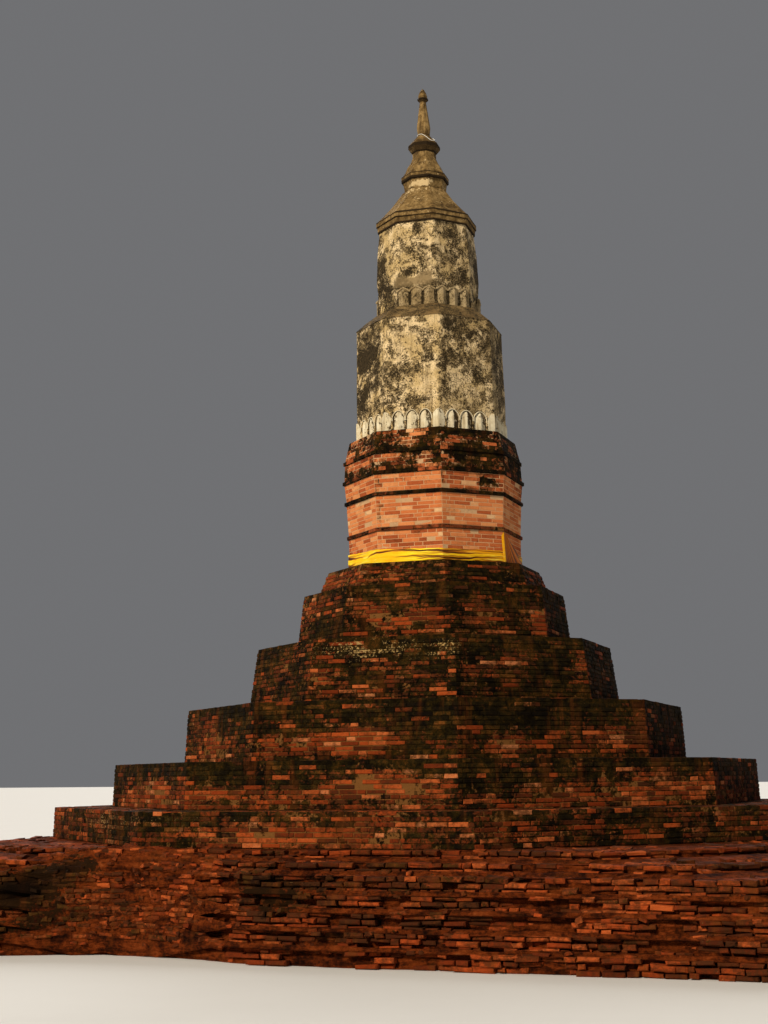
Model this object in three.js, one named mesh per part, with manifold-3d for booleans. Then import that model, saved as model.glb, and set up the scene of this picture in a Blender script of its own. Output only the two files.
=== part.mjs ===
// Octagonal brick stupa on an old square base. Millimetres, +Z up, origin at ground level in the
// middle of the base, the front side of the square base towards -Y.
import * as THREE from "three";
import { mergeVertices } from "three/addons/utils/BufferGeometryUtils.js";
import Module from "manifold-3d";

const wasm = await Module();
wasm.setup();

// Every radius of an octagon is measured to its corners.
const SIDES = 8;
const FACE_ANGLE = (2 * Math.PI) / SIDES;
const SEAT_GAP = 0.3;

// The old square base: layers of brick courses, each set back and slumped by its own amounts.
const BASE_HALF_WIDTH = 7600;
const BASE_POINTS_A_SIDE = 26;
const BASE_LAYERS = [
  { bottom: 0, top: 230, setBack: 0, wear: 90, slump: 700, corner: 350 },
  { bottom: 230, top: 450, setBack: 90, wear: 120, slump: 640, corner: 450 },
  { bottom: 450, top: 680, setBack: 190, wear: 130, slump: 590, corner: 600 },
  { bottom: 680, top: 900, setBack: 280, wear: 130, slump: 560, corner: 800 },
  { bottom: 900, top: 1130, setBack: 380, wear: 110, slump: 420, corner: 1000 },
  { bottom: 1130, top: 1280, setBack: 620, wear: 170, slump: 260, corner: 1700 },
  { bottom: 1280, top: 1420, setBack: 1000, wear: 160, slump: 60, corner: 2300 },
];
const SLUMP = { centre: -2400, halfWidth: 2100, steepness: 0.6 };
// The faces wear back in long waves along each side, which shift from side to side and layer to
// layer, and not at all at a side's ends.
const WEAR_MEAN = 0.5;
const WEAR_WAVES = [
  { share: 0.28, stretch: 410, sideShift: 2.1, layerShift: 1.7 },
  { share: 0.22, stretch: 930, sideShift: 4.4, layerShift: 0.6 },
];
const WEAR_END_SHARPNESS = 12;

// Octagonal terraces and tiers, from the old base up to the drum. Each was laid out with a turn of
// its own, in degrees, against the square base.
const TERRACES = [
  { name: "terrace_1", bottom: 1420, top: 1930, foot: 6620, head: 6600, turn: -0.6 },
  { name: "terrace_2", bottom: 1930, top: 2640, foot: 5635, head: 5595, turn: -1.9 },
  { name: "terrace_3", bottom: 2640, top: 3560, foot: 4390, head: 4330, turn: -0.7 },
  { name: "terrace_4", bottom: 3560, top: 4610, foot: 3270, head: 3120, turn: 0.8 },
  { name: "tier_5", bottom: 4610, top: 5540, foot: 2430, head: 2315, turn: 1 },
  { name: "tier_6", bottom: 5540, top: 5960, foot: 2050, head: 1886, turn: 0.3 },
];

// The drum: wall bands between thin projecting string courses, the lowest band first.
const DRUM_BANDS = [
  { name: "drum_band_1", bottom: 5960, top: 6530, foot: 1528, head: 1538 },
  { name: "drum_band_2", bottom: 6600, top: 7140, foot: 1538, head: 1568 },
  { name: "drum_band_3", bottom: 7210, top: 7510, foot: 1568, head: 1599 },
  { name: "drum_band_4", bottom: 7580, top: 7870, foot: 1599, head: 1584 },
  { name: "drum_band_5", bottom: 7940, top: 8290, foot: 1579, head: 1495 },
];
const STRING_COURSES = [
  { name: "string_course_1", bottom: 6530, top: 6600, radius: 1572 },
  { name: "string_course_2", bottom: 7140, top: 7210, radius: 1607 },
  { name: "string_course_3", bottom: 7510, top: 7580, radius: 1635 },
  { name: "string_course_4", bottom: 7870, top: 7940, radius: 1615 },
];

// The cloth sash round the foot of the drum, drawn up at one corner.
const SASH = {
  bottom: 5968, top: 6170, thickness: 32,
  drawnUpTo: 6525, drawnUpWidth: 0.05, drawnUpThickness: 19,
};

// The stucco tower stands turned a little on its drum, in degrees. Drum and tower lean towards
// their left: the axis moves over by LEAN for each unit of height, while the beds stay level. It
// crosses the terraces' axis at the foot of the tower.
const TOWER_TURN = 3.4;
const TOWER_FOOT = 8290;
const LEAN = { x: -0.0125, y: -0.0035 };

// A petal is half buried in its backing: width along the face, height, and how far it stands out.
const LOWER_PETALS = {
  bottom: 8290, top: 8650, backing: 1325, aFace: 4, atCorners: true,
  width: 214, depth: 52, missing: [],
};
const UPPER_PETALS = {
  bottom: 10630, top: 10980, backing: 925, aFace: 3, atCorners: false,
  width: 206, depth: 66, missing: [21, 22, 23],
};
const PETAL_SEGMENTS = 10;
const PETAL_DOME_STEPS = 3;

// Profiles of the tower, each a list of [radius, height] from the foot up.
const BELL = [[1362, 8650], [1362, 9200], [1340, 9950], [1340, 10330]];
const SHOULDER = [[1350, 10330], [1190, 10470], [985, 10630]];
const SHAFT = [[930, 10980], [948, 11300], [925, 11800], [880, 12200]];
const CORNICE_1_LOWER = [[905, 12200], [915, 12310]];
const CORNICE_1_UPPER = [[933, 12310], [933, 12400]];
const ROOF_1 = [[926, 12400], [790, 12540], [618, 12730], [430, 12990]];
const SECOND_STAGE = [[385, 12990], [413, 13190]];
const CORNICE_2 = [[446, 13190], [446, 13290]];
const ROOF_2 = [[430, 13290], [365, 13390], [323, 13490], [255, 13590], [230, 13660]];
const NECK = [[223, 13660], [223, 13760]];
const CORNICE_3 = [[223, 13760], [260, 13800], [302, 13852], [302, 13900], [288, 13928]];
const ROOF_3 = [[282, 13928], [240, 13975], [180, 14040], [124, 14112]];
const SPIRE = [[112, 14112], [129, 14275], [97, 14515], [59, 14790]];
const SPIRE_COLLAR = [[72, 14790], [105, 14822], [105, 14840], [88, 14855]];
const LOTUS_BUD = [[80, 14855], [87, 14895], [66, 14965], [30, 15022], [0, 15050]];

// A thin votive thread lying round the foot of the spire and down over the third roof, as points
// [angle from the front, height, distance from the axis].
const THREAD_DIAMETER = 12;
const THREAD_STEPS = 60;
const THREAD_CURVE_SEGMENTS = 4;
const THREAD_ROUTE = [
  [-60, 14119, 121], [-39, 14122, 120], [-22, 14122, 121], [-8, 14119, 121],
  [4, 14106, 131], [15, 14080, 154], [26, 14045, 186], [36, 13996, 222],
  [46, 13953, 255], [57, 13958, 257], [67, 13982, 247], [78, 14010, 213],
  [90, 14038, 184], [105, 14065, 170], [124, 14092, 148], [146, 14113, 134.5],
  [168, 14119, 121.5], [190, 14119, 120.5], [215, 14119, 120.5], [240, 14119, 120.5],
  [265, 14119, 120.5], [292, 14119, 121],
];

const brick = finish(0x7a3a26, 0.95);
const worn = finish(0x8c4029, 0.97);
const cleanBrick = finish(0xb0634a, 0.9);
const stucco = finish(0xb9a57c, 0.9);
const limewash = finish(0xd9cfae, 0.85);
const roofStucco = finish(0x8d7a55, 0.92);
const cloth = finish(0xe2a21c, 0.8);
const thread = finish(0xe8e4da, 0.8);

function finish(color, roughness) {
  return new THREE.MeshStandardMaterial({ color, roughness, metalness: 0 });
}

function named(name, geometry, material) {
  const mesh = new THREE.Mesh(geometry, material.clone());
  mesh.name = name;
  return mesh;
}

// A closed solid turned round the vertical axis, from [radius, height] pairs, foot first.
function turned(profile, segments, startAngle = 0) {
  const points = profile.map(([radius, height]) => new THREE.Vector2(radius, height));
  const [footHeight, headHeight] = [profile[0][1], profile.at(-1)[1]];
  points.unshift(new THREE.Vector2(0, footHeight));
  if (profile.at(-1)[0] > 0) points.push(new THREE.Vector2(0, headHeight));
  return new THREE.LatheGeometry(points, segments, startAngle).rotateX(Math.PI / 2);
}

// An octagonal solid with one face square to each axis.
function octagonal(profile) {
  return turned(profile, SIDES, FACE_ANGLE / 2);
}

function frustum({ bottom, top, foot, head }) {
  return octagonal([[foot, bottom], [head, top]]);
}

function solid(geometry) {
  const bare = geometry.index ? geometry.toNonIndexed() : geometry.clone();
  const positions = new THREE.BufferGeometry();
  positions.setAttribute("position", bare.getAttribute("position"));
  const merged = mergeVertices(positions, 1e-3);
  const mesh = { numProp: 3, vertProperties: merged.attributes.position.array };
  mesh.triVerts = new Uint32Array(merged.index.array);
  return new wasm.Manifold(new wasm.Mesh(mesh));
}

function toGeometry(manifold) {
  const mesh = manifold.getMesh();
  const geometry = new THREE.BufferGeometry();
  geometry.setAttribute("position", new THREE.BufferAttribute(mesh.vertProperties, 3));
  geometry.setIndex(new THREE.BufferAttribute(mesh.triVerts, 1));
  geometry.computeVertexNormals();
  return geometry;
}

function joined(geometries) {
  const whole = geometries.slice(1).reduce((sum, piece) => sum.add(solid(piece)), solid(geometries[0]));
  return toGeometry(whole);
}

// How far the face of the old base has worn back, at a distance along the side from its middle.
function wearDepth(along, side, layer, index) {
  const waves = WEAR_WAVES.reduce((sum, { share, stretch, sideShift, layerShift }) => {
    return sum + share * Math.cos(along / stretch + sideShift * side + layerShift * index);
  }, WEAR_MEAN);
  const reach = Math.min(1, Math.abs(along - SLUMP.centre) / SLUMP.halfWidth);
  const bay = ((1 + Math.cos(Math.PI * reach)) / 2) ** SLUMP.steepness;
  const towardsEnd = Math.abs(along / (BASE_HALF_WIDTH - layer.corner));
  const endFade = Math.max(0, 1 - towardsEnd ** WEAR_END_SHARPNESS);
  return endFade * layer.wear * waves + layer.slump * bay;
}

function baseOutline(layer, index) {
  const half = BASE_HALF_WIDTH - layer.setBack;
  const outline = new THREE.Shape();
  for (let side = 0; side < 4; side++) {
    const [sin, cos] = [Math.sin((side * Math.PI) / 2), Math.cos((side * Math.PI) / 2)];
    for (let i = 0; i <= BASE_POINTS_A_SIDE; i++) {
      const along = (half - layer.corner) * ((2 * i) / BASE_POINTS_A_SIDE - 1);
      const out = half - wearDepth(along, side, layer, index);
      const [x, y] = [along * cos + out * sin, along * sin - out * cos];
      if (side === 0 && i === 0) outline.moveTo(x, y);
      else outline.lineTo(x, y);
    }
  }
  return outline;
}

function oldBase() {
  return BASE_LAYERS.map((layer, index) => {
    const shape = baseOutline(layer, index);
    const slab = new THREE.ExtrudeGeometry(shape, { depth: layer.top - layer.bottom, bevelEnabled: false });
    slab.translate(0, 0, layer.bottom);
    return named(`old_base_courses_${index + 1}`, slab, worn);
  });
}

function terraces() {
  return TERRACES.map((level) => {
    const terrace = named(level.name, frustum(level), brick);
    terrace.rotation.z = THREE.MathUtils.degToRad(level.turn);
    return terrace;
  });
}

function drum() {
  const bands = DRUM_BANDS.map((band) => named(band.name, frustum(band), cleanBrick));
  const strings = STRING_COURSES.map(({ name, bottom, top, radius }) =>
    named(name, frustum({ bottom, top, foot: radius, head: radius }), brick),
  );
  return [...bands, ...strings];
}

// The sash is an octagonal ring of cloth, with one corner of it drawn up the face towards +X.
function sash() {
  const inner = DRUM_BANDS[0].head + SEAT_GAP / Math.cos(FACE_ANGLE / 2);
  const outer = inner + SASH.thickness;
  const section = [[inner, SASH.bottom], [outer, SASH.bottom], [outer, SASH.top], [inner, SASH.top]];
  const points = [...section, section[0]].map(([radius, height]) => new THREE.Vector2(radius, height));
  const ring = new THREE.LatheGeometry(points, SIDES, FACE_ANGLE / 2).rotateX(Math.PI / 2);
  const halfFace = inner * Math.sin(FACE_ANGLE / 2);
  const faceDistance = inner * Math.cos(FACE_ANGLE / 2);
  const flap = new THREE.Shape([
    new THREE.Vector2(-halfFace, SASH.bottom + SASH.thickness),
    new THREE.Vector2(halfFace, SASH.bottom + SASH.thickness),
    new THREE.Vector2(halfFace, SASH.top),
    new THREE.Vector2(-halfFace * (1 - 2 * SASH.drawnUpWidth), SASH.drawnUpTo),
    new THREE.Vector2(-halfFace, SASH.drawnUpTo),
  ]);
  const drawnUp = new THREE.ExtrudeGeometry(flap, { depth: SASH.drawnUpThickness, bevelEnabled: false });
  drawnUp.rotateX(Math.PI / 2).rotateZ(Math.PI / 2).translate(faceDistance, 0, 0);
  return named("sash", joined([ring, drawnUp]), cloth);
}

// A petal: a half-buried upright rib with a domed head, standing on z = 0 at the origin.
function petal({ bottom, top, width, depth }) {
  const [radius, height] = [width / 2, top - bottom];
  const profile = [[radius, 0]];
  for (let step = 0; step < PETAL_DOME_STEPS; step++) {
    const rise = (step / PETAL_DOME_STEPS) * (Math.PI / 2);
    profile.push([radius * Math.cos(rise), height - radius + radius * Math.sin(rise)]);
  }
  profile.push([0, height]);
  return turned(profile, PETAL_SEGMENTS).scale(1, depth / radius, 1);
}

function lotusRing(name, row, material) {
  const { bottom, top, backing, aFace, atCorners, missing } = row;
  const count = aFace * SIDES;
  const apothem = backing * Math.cos(FACE_ANGLE / 2);
  const faceWidth = 2 * backing * Math.sin(FACE_ANGLE / 2);
  const pieces = [frustum({ bottom, top, foot: backing, head: backing })];
  for (let i = 0; i < count; i++) {
    if (missing.includes(i)) continue;
    const face = Math.floor(i / aFace);
    const place = (i % aFace) - (aFace - 1) / 2 + (atCorners ? 0.5 : 0);
    const onCorner = atCorners && i % aFace === aFace - 1;
    const rib = petal(row);
    if (onCorner) rib.rotateZ(FACE_ANGLE / 2);
    rib.translate((place * faceWidth) / aFace, -apothem, bottom).rotateZ(face * FACE_ANGLE);
    pieces.push(rib);
  }
  return named(name, joined(pieces), material);
}

function votiveThread() {
  const points = THREAD_ROUTE.map(([angle, height, distance]) => {
    const turn = THREE.MathUtils.degToRad(angle);
    return new THREE.Vector3(distance * Math.sin(turn), -distance * Math.cos(turn), height);
  });
  const section = new THREE.Shape().absarc(0, 0, THREAD_DIAMETER / 2, 0, 2 * Math.PI);
  const extrudePath = new THREE.CatmullRomCurve3(points);
  const [steps, curveSegments] = [THREAD_STEPS, THREAD_CURVE_SEGMENTS];
  const tube = new THREE.ExtrudeGeometry(section, { steps, curveSegments, extrudePath });
  return named("votive_thread", tube, thread);
}

function towerPieces() {
  return [
    lotusRing("lower_lotus_petals", LOWER_PETALS, limewash),
    named("bell_body", octagonal(BELL), stucco),
    named("bell_shoulder", octagonal(SHOULDER), stucco),
    lotusRing("upper_lotus_petals", UPPER_PETALS, stucco),
    named("upper_shaft", octagonal(SHAFT), stucco),
    named("cornice_1_lower", octagonal(CORNICE_1_LOWER), roofStucco),
    named("cornice_1_upper", octagonal(CORNICE_1_UPPER), roofStucco),
    named("roof_1", octagonal(ROOF_1), roofStucco),
    named("second_stage", octagonal(SECOND_STAGE), roofStucco),
    named("cornice_2", octagonal(CORNICE_2), roofStucco),
    named("roof_2", octagonal(ROOF_2), roofStucco),
    named("neck", octagonal(NECK), roofStucco),
    named("cornice_3", octagonal(CORNICE_3), roofStucco),
    named("roof_3", octagonal(ROOF_3), roofStucco),
    named("spire", octagonal(SPIRE), roofStucco),
    named("spire_collar", octagonal(SPIRE_COLLAR), roofStucco),
    named("lotus_bud", octagonal(LOTUS_BUD), roofStucco),
  ];
}

function leaning(pieces, turn) {
  const lean = new THREE.Matrix4().set(
    1, 0, LEAN.x, -LEAN.x * TOWER_FOOT,
    0, 1, LEAN.y, -LEAN.y * TOWER_FOOT,
    0, 0, 1, 0,
    0, 0, 0, 1,
  );
  for (const { geometry } of pieces) {
    geometry.rotateZ(THREE.MathUtils.degToRad(turn)).applyMatrix4(lean);
  }
  return pieces;
}

const stupa = new THREE.Group();
stupa.add(...oldBase(), ...terraces());
stupa.add(...leaning([...drum(), sash()], 0));
stupa.add(...leaning([...towerPieces(), votiveThread()], TOWER_TURN));

export default stupa;
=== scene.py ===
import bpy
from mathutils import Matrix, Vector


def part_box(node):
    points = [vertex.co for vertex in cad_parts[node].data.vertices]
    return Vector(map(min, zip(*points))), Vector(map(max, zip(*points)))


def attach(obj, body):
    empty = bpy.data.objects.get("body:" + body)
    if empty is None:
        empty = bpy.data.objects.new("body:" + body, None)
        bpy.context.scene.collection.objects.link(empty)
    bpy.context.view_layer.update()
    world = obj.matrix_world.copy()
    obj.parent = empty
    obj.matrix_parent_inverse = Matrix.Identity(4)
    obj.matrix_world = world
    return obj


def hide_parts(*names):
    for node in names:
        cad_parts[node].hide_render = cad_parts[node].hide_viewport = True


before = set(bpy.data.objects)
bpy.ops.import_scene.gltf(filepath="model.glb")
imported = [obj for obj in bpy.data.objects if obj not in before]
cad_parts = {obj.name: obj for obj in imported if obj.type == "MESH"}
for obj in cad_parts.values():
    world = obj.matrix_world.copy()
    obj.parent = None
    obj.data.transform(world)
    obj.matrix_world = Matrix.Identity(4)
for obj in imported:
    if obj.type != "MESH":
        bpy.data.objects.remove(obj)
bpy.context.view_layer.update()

import math

import bpy
import numpy as np
from mathutils import Matrix, Vector

# Lengths are in metres, and angles in degrees unless a name says otherwise. An azimuth is counted
# from the front (-Y) towards the right (+X). A spot on a wall is (azimuth, height, half width,
# half height, amount).
SIDES = 8
HALF_SIDE = math.pi / SIDES
# From the middle to a face, as a share of the reach to a corner.
TO_FACE = math.cos(HALF_SIDE)
COURSE = 0.071
BRICK_LENGTH = 0.285
HEADER_LENGTH = 0.138
BRICK_WIDTH = 0.14
# How far into a wall a brick reaches.
BRICK_DEPTH = 0.13
JOINT = 0.011
ROW_PITCH = BRICK_WIDTH + JOINT
# Each generator of random numbers starts from this and a number of its own.
SCENE_SEED = 1723

CAMERA_PLACE = (8.665, -27.173, 2.399)
CAMERA_HEADING = 19.46
CAMERA_PITCH = 9.277
CAMERA_ROLL = 0.556
CAMERA_LENS = 56.83
CAMERA_SENSOR = 36.0
CAMERA_REACH = 500


def new_object(name, data):
    made = bpy.data.objects.new(name, data)
    bpy.context.scene.collection.objects.link(made)
    return made


def look_through_camera():
    data = bpy.data.cameras.new("camera")
    data.lens = CAMERA_LENS
    data.sensor_width = CAMERA_SENSOR
    data.clip_end = CAMERA_REACH
    camera = new_object("camera", data)
    place = Matrix.Translation(CAMERA_PLACE)
    for axis, degrees in (("Z", CAMERA_HEADING), ("X", 90 + CAMERA_PITCH), ("Z", -CAMERA_ROLL)):
        place = place @ Matrix.Rotation(math.radians(degrees), 4, axis)
    camera.matrix_world = place
    bpy.context.scene.camera = camera


# Noise

HASH_STRIDES = np.array([73856093, 19349663, 83492791])
HASH_SEED_STRIDE = 2654435761
HASH_MIXER = 1274126177
HASH_MASK = 0xFFFFFFFF
OCTAVE_SEED_STEP = 17


def lattice_noise(points, size, seed):
    """Smooth noise from 0 to 1 at each point, with features of about that size."""
    cell = np.asarray(points, float) / size
    base = np.floor(cell).astype(np.int64)
    part = cell - base
    part = part * part * (3 - 2 * part)
    total = np.zeros(len(cell))
    for corner in range(8):
        step = np.array([corner & 1, corner >> 1 & 1, corner >> 2 & 1])
        key = ((base + step) @ HASH_STRIDES + seed * HASH_SEED_STRIDE) & HASH_MASK
        key = ((key ^ (key >> 13)) * HASH_MIXER) & HASH_MASK
        value = ((key ^ (key >> 16)) & 0xFFFF) / 0xFFFF
        total += value * np.prod(np.where(step, part, 1 - part), axis=1)
    return total


def cloudy(points, size, seed, octaves=3):
    """Noise from 0 to 1 with finer and finer detail."""
    total, weight = 0, 0
    for octave in range(octaves):
        share = 0.5**octave
        total = total + share * lattice_noise(points, size * share, seed + OCTAVE_SEED_STEP * octave)
        weight += share
    return total / weight


def smooth_step(value, low, high):
    t = np.clip((value - low) / (high - low), 0, 1)
    return t * t * (3 - 2 * t)


def azimuth_of(points):
    """Azimuths of points about the axis, in radians."""
    return np.arctan2(points[..., 0], -points[..., 1])


def spotted(places, spots):
    """The sum of soft spots on a wall at each place."""
    total = np.zeros(len(places))
    reach = np.hypot(places[:, 0], places[:, 1])
    azimuth = azimuth_of(places)
    for turn, height, half_width, half_height, amount in spots:
        away = (azimuth - math.radians(turn) + math.pi) % (2 * math.pi) - math.pi
        across, rise = away * reach / half_width, (places[:, 2] - height) / half_height
        total += amount * np.exp(-(across**2) - rise**2)
    return total


# Materials


class Paint:
    """A procedural material under construction: each method adds a node and returns its socket."""

    def __init__(self, name, roughness=0.9, specular=0.3):
        self.material = bpy.data.materials.new(name)
        self.material.use_nodes = True
        self.tree = self.material.node_tree
        self.shader = self.tree.nodes["Principled BSDF"]
        self.shader.inputs["Roughness"].default_value = roughness
        self.shader.inputs["Specular IOR Level"].default_value = specular
        self.place = self.node("TexCoord", "Object", {})

    def put(self, socket, value):
        if isinstance(value, bpy.types.NodeSocket):
            self.tree.links.new(value, socket)
        elif socket.type == "RGBA":
            socket.default_value = (*value, 1)
        else:
            socket.default_value = value

    def node(self, kind, output, inputs, **settings):
        node = self.tree.nodes.new("ShaderNode" + kind)
        for name, value in settings.items():
            setattr(node, name, value)
        for name, value in inputs.items():
            self.put(node.inputs[name], value)
        return node.outputs[output]

    def noise(self, scale, detail=4.0, roughness=0.55, distortion=0.0, place=None):
        inputs = {"Vector": place or self.place, "Scale": scale, "Detail": detail}
        return self.node("TexNoise", "Fac", {**inputs, "Roughness": roughness, "Distortion": distortion})

    def drawn_out(self, across, up, detail, roughness, distortion=0.1):
        """Noise with its own scale across and up a wall."""
        inputs = {"Vector": self.place, "Scale": (across, across, up)}
        return self.noise(1.0, detail, roughness, distortion, self.node("Mapping", "Vector", inputs))

    def cells(self, scale, feature="F1"):
        inputs = {"Vector": self.place, "Scale": scale}
        return self.node("TexVoronoi", "Distance", inputs, feature=feature)

    def attribute(self, name):
        return self.node("Attribute", "Fac", {}, attribute_name=name)

    def math(self, operation, a, b=0.0):
        return self.node("Math", 0, {0: a, 1: b}, operation=operation)

    def total(self, *terms):
        """The sum of (socket, weight) pairs."""
        result = 0.0
        for socket, weight in terms:
            result = self.math("ADD", self.math("MULTIPLY", socket, weight), result)
        return result

    def step(self, value, low, high, to_low=0.0, to_high=1.0):
        names = ("Value", "From Min", "From Max", "To Min", "To Max")
        inputs = dict(zip(names, (value, low, high, to_low, to_high)))
        return self.node("MapRange", "Result", inputs, interpolation_type="SMOOTHSTEP")

    def ramp(self, value, *stops):
        colour = self.node("ValToRGB", "Color", {"Fac": value})
        elements = colour.node.color_ramp.elements
        while len(elements) < len(stops):
            elements.new(0.5)
        for element, (position, shade) in zip(elements, stops):
            element.position = position
            element.color = (*shade, 1)
        return colour

    def mix(self, factor, a, b):
        return self.node("Mix", 2, {0: factor, 6: a, 7: b}, data_type="RGBA")

    def stained(self, colour, where, low, high, stain, amount=1.0):
        """The colour turned to the stain, by that amount, as a value rises from low to high."""
        return self.mix(self.step(where, low, high, 0.0, amount), colour, stain)

    def facing_up(self):
        """How far the surface faces up, from -1 to 1."""
        normal = self.node("NewGeometry", "Normal", {})
        return self.node("SeparateXYZ", "Z", {0: normal})

    def finish(self, colour, bump=None, depth=0.004):
        self.put(self.shader.inputs["Base Color"], colour)
        if bump is not None:
            normal = self.node("Bump", "Normal", {"Height": bump, "Distance": depth})
            self.put(self.shader.inputs["Normal"], normal)
        return self.material


MOSS_STOPS = (
    (0.28, (0.0015, 0.001, 0.0003)), (0.42, (0.006, 0.0035, 0.0008)), (0.52, (0.017, 0.011, 0.0016)),
    (0.62, (0.048, 0.021, 0.003)), (0.76, (0.150, 0.048, 0.008)),
)
RUBBLE_MOSS = (
    (0.24, (0.006, 0.002, 0.001)), (0.42, (0.020, 0.007, 0.002)), (0.52, (0.050, 0.016, 0.003)),
    (0.62, (0.045, 0.023, 0.004)), (0.74, (0.13, 0.035, 0.007)),
)
DRUM_STOPS = (
    (0.06, (0.20, 0.042, 0.013)), (0.30, (0.46, 0.105, 0.030)), (0.56, (0.64, 0.190, 0.058)),
    (0.78, (0.73, 0.290, 0.105)), (0.96, (0.76, 0.46, 0.23)),
)
TERRACE_STOPS = (
    (0.06, (0.055, 0.012, 0.003)), (0.32, (0.20, 0.029, 0.005)), (0.58, (0.36, 0.062, 0.011)),
    (0.80, (0.47, 0.115, 0.030)), (0.96, (0.56, 0.20, 0.075)),
)
RUBBLE_STOPS = (
    (0.08, (0.055, 0.011, 0.003)), (0.34, (0.19, 0.028, 0.005)), (0.60, (0.37, 0.060, 0.011)),
    (0.82, (0.46, 0.098, 0.022)), (0.97, (0.52, 0.18, 0.060)),
)
EARTH_STOPS = (
    (0.36, (0.008, 0.0022, 0.001)), (0.47, (0.045, 0.009, 0.0022)), (0.56, (0.130, 0.024, 0.004)),
    (0.66, (0.21, 0.042, 0.008)), (0.80, (0.30, 0.085, 0.022)),
)
CRUST_STOPS = ((0.38, (0.008, 0.006, 0.003)), (0.62, (0.066, 0.046, 0.022)))
TAN_STOPS = ((0.40, (0.075, 0.044, 0.015)), (0.52, (0.19, 0.118, 0.042)), (0.64, (0.33, 0.215, 0.085)))
OCHRE = (0.36, 0.23, 0.085)
BRICK_DUST = (0.145, 0.038, 0.006)
# Near black for deep growth, and for painted shade in the old base's cavities.
DEEP_GROWTH_AND_SHADE = (0.004, 0.002, 0.001)


def dimmed(colour, share):
    return tuple(share * part for part in colour)


def cover_of(p, low, high):
    """Where growth covers a wall, from 0 to 1: half of it where the growth is about 0.6."""
    run = p.drawn_out(7, 0.9, 7, 0.68, 0.2)
    parts = (p.noise(24, 6, 0.62), 0.8), (p.noise(6, 10, 0.74, 0.3), 1.6), (run, 0.6)
    return p.step(p.total((p.attribute("growth"), 1), *parts), low, high)


def moss_of(p, own_tone, stops):
    """The colour of the growth itself, a mosaic from black to orange brown."""
    clumps = (p.noise(8, 10, 0.78, 0.3), 1.0), (p.noise(60, 5, 0.7), 0.4), (p.noise(2.1, 6), 0.5)
    return p.ramp(p.math("SUBTRACT", p.total(*clumps, (own_tone, 0.22)), 0.55), *stops)


def washed(p, colour, amount):
    """The colour with rusty runs of brick dust down the wall, and black where growth is deep, which on
    the old base's cavities is painted shade.
    """
    colour = p.stained(colour, p.drawn_out(4.5, 0.5, 6, 0.6, 0.3), 0.52, 0.66, BRICK_DUST, amount)
    return p.stained(colour, p.attribute("growth"), 0.95, 1.35, DEEP_GROWTH_AND_SHADE, 0.85)


def brick_paint(name, stops, moss_stops=MOSS_STOPS, wash=0.3, grimy=0.50):
    """Fired brick under dark moss and lichen. Each brick brings its own tone and growth."""
    p = Paint(name, roughness=0.96, specular=0.08)
    own_tone = p.attribute("tone")
    fine = p.noise(150, 5, 0.65)
    middle = p.noise(24, 6, 0.62)
    tone = p.total((own_tone, 1), (middle, 0.34), (fine, 0.22))
    fired = p.ramp(p.math("SUBTRACT", tone, 0.28), *stops)
    fired = p.stained(fired, fine, 0.40, 0.80, (0.05, 0.014, 0.006), 0.35)
    grime = p.total((p.noise(11, 8, 0.72), 1.0), (p.attribute("growth"), 0.28))
    fired = p.stained(fired, grime, grimy, grimy + 0.24, (0.045, 0.016, 0.005), 0.8)
    cover = cover_of(p, 2.02, 2.22)
    colour = washed(p, p.mix(cover, fired, moss_of(p, own_tone, moss_stops)), wash)
    crust = (p.noise(26, 7, 0.7, 0.4), 1.0), (p.attribute("ochre"), 0.36), (p.noise(1.7, 5), 0.25)
    colour = p.stained(colour, p.total(*crust), 0.80, 0.90, OCHRE)
    return p.finish(colour, p.total((fine, 0.5), (middle, 0.9), (cover, 0.5)), depth=0.006)


def mortar_paint(name, pale, wash, low):
    """Lime mortar between bricks, darkened where growth covers the wall."""
    p = Paint(name, roughness=0.98, specular=0.06)
    fine = p.noise(120, 6, 0.7)
    clean = p.mix(fine, dimmed(pale, 0.62), pale)
    colour = p.mix(cover_of(p, low, low + 0.20), clean, moss_of(p, 0.4, MOSS_STOPS))
    relief = p.total((fine, 1.0), (p.noise(30, 6, 0.7), 1.5))
    return p.finish(washed(p, colour, wash), relief, depth=0.012)


def earth_paint(name):
    """Crumbled brick and earth in thin beds: dark red to orange, with black patches of painted shade for
    its cavities.
    """
    p = Paint(name, roughness=0.98, specular=0.05)
    fine = p.noise(55, 8, 0.72)
    crumbs = p.cells(17)
    beds = p.drawn_out(2.6, 13, 9, 0.72, 0.5)
    blend = p.total((p.noise(3.2, 12, 0.74, 0.3), 0.8), (beds, 0.7), (fine, 0.25), (crumbs, 0.10))
    colour = p.ramp(p.math("SUBTRACT", blend, 0.40), *EARTH_STOPS)
    # Painted shade for cavities in the earth, near black, laid where growth covers it.
    hollow_shade = p.mix(fine, (0.005, 0.002, 0.001), (0.035, 0.015, 0.004))
    colour = p.mix(cover_of(p, 2.05, 2.25), colour, hollow_shade)
    relief = p.total((fine, 0.8), (p.noise(18, 8, 0.7), 1.6), (beds, 2.4), (crumbs, -0.3))
    return p.finish(washed(p, colour, 0.2), relief, depth=0.022)


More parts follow.
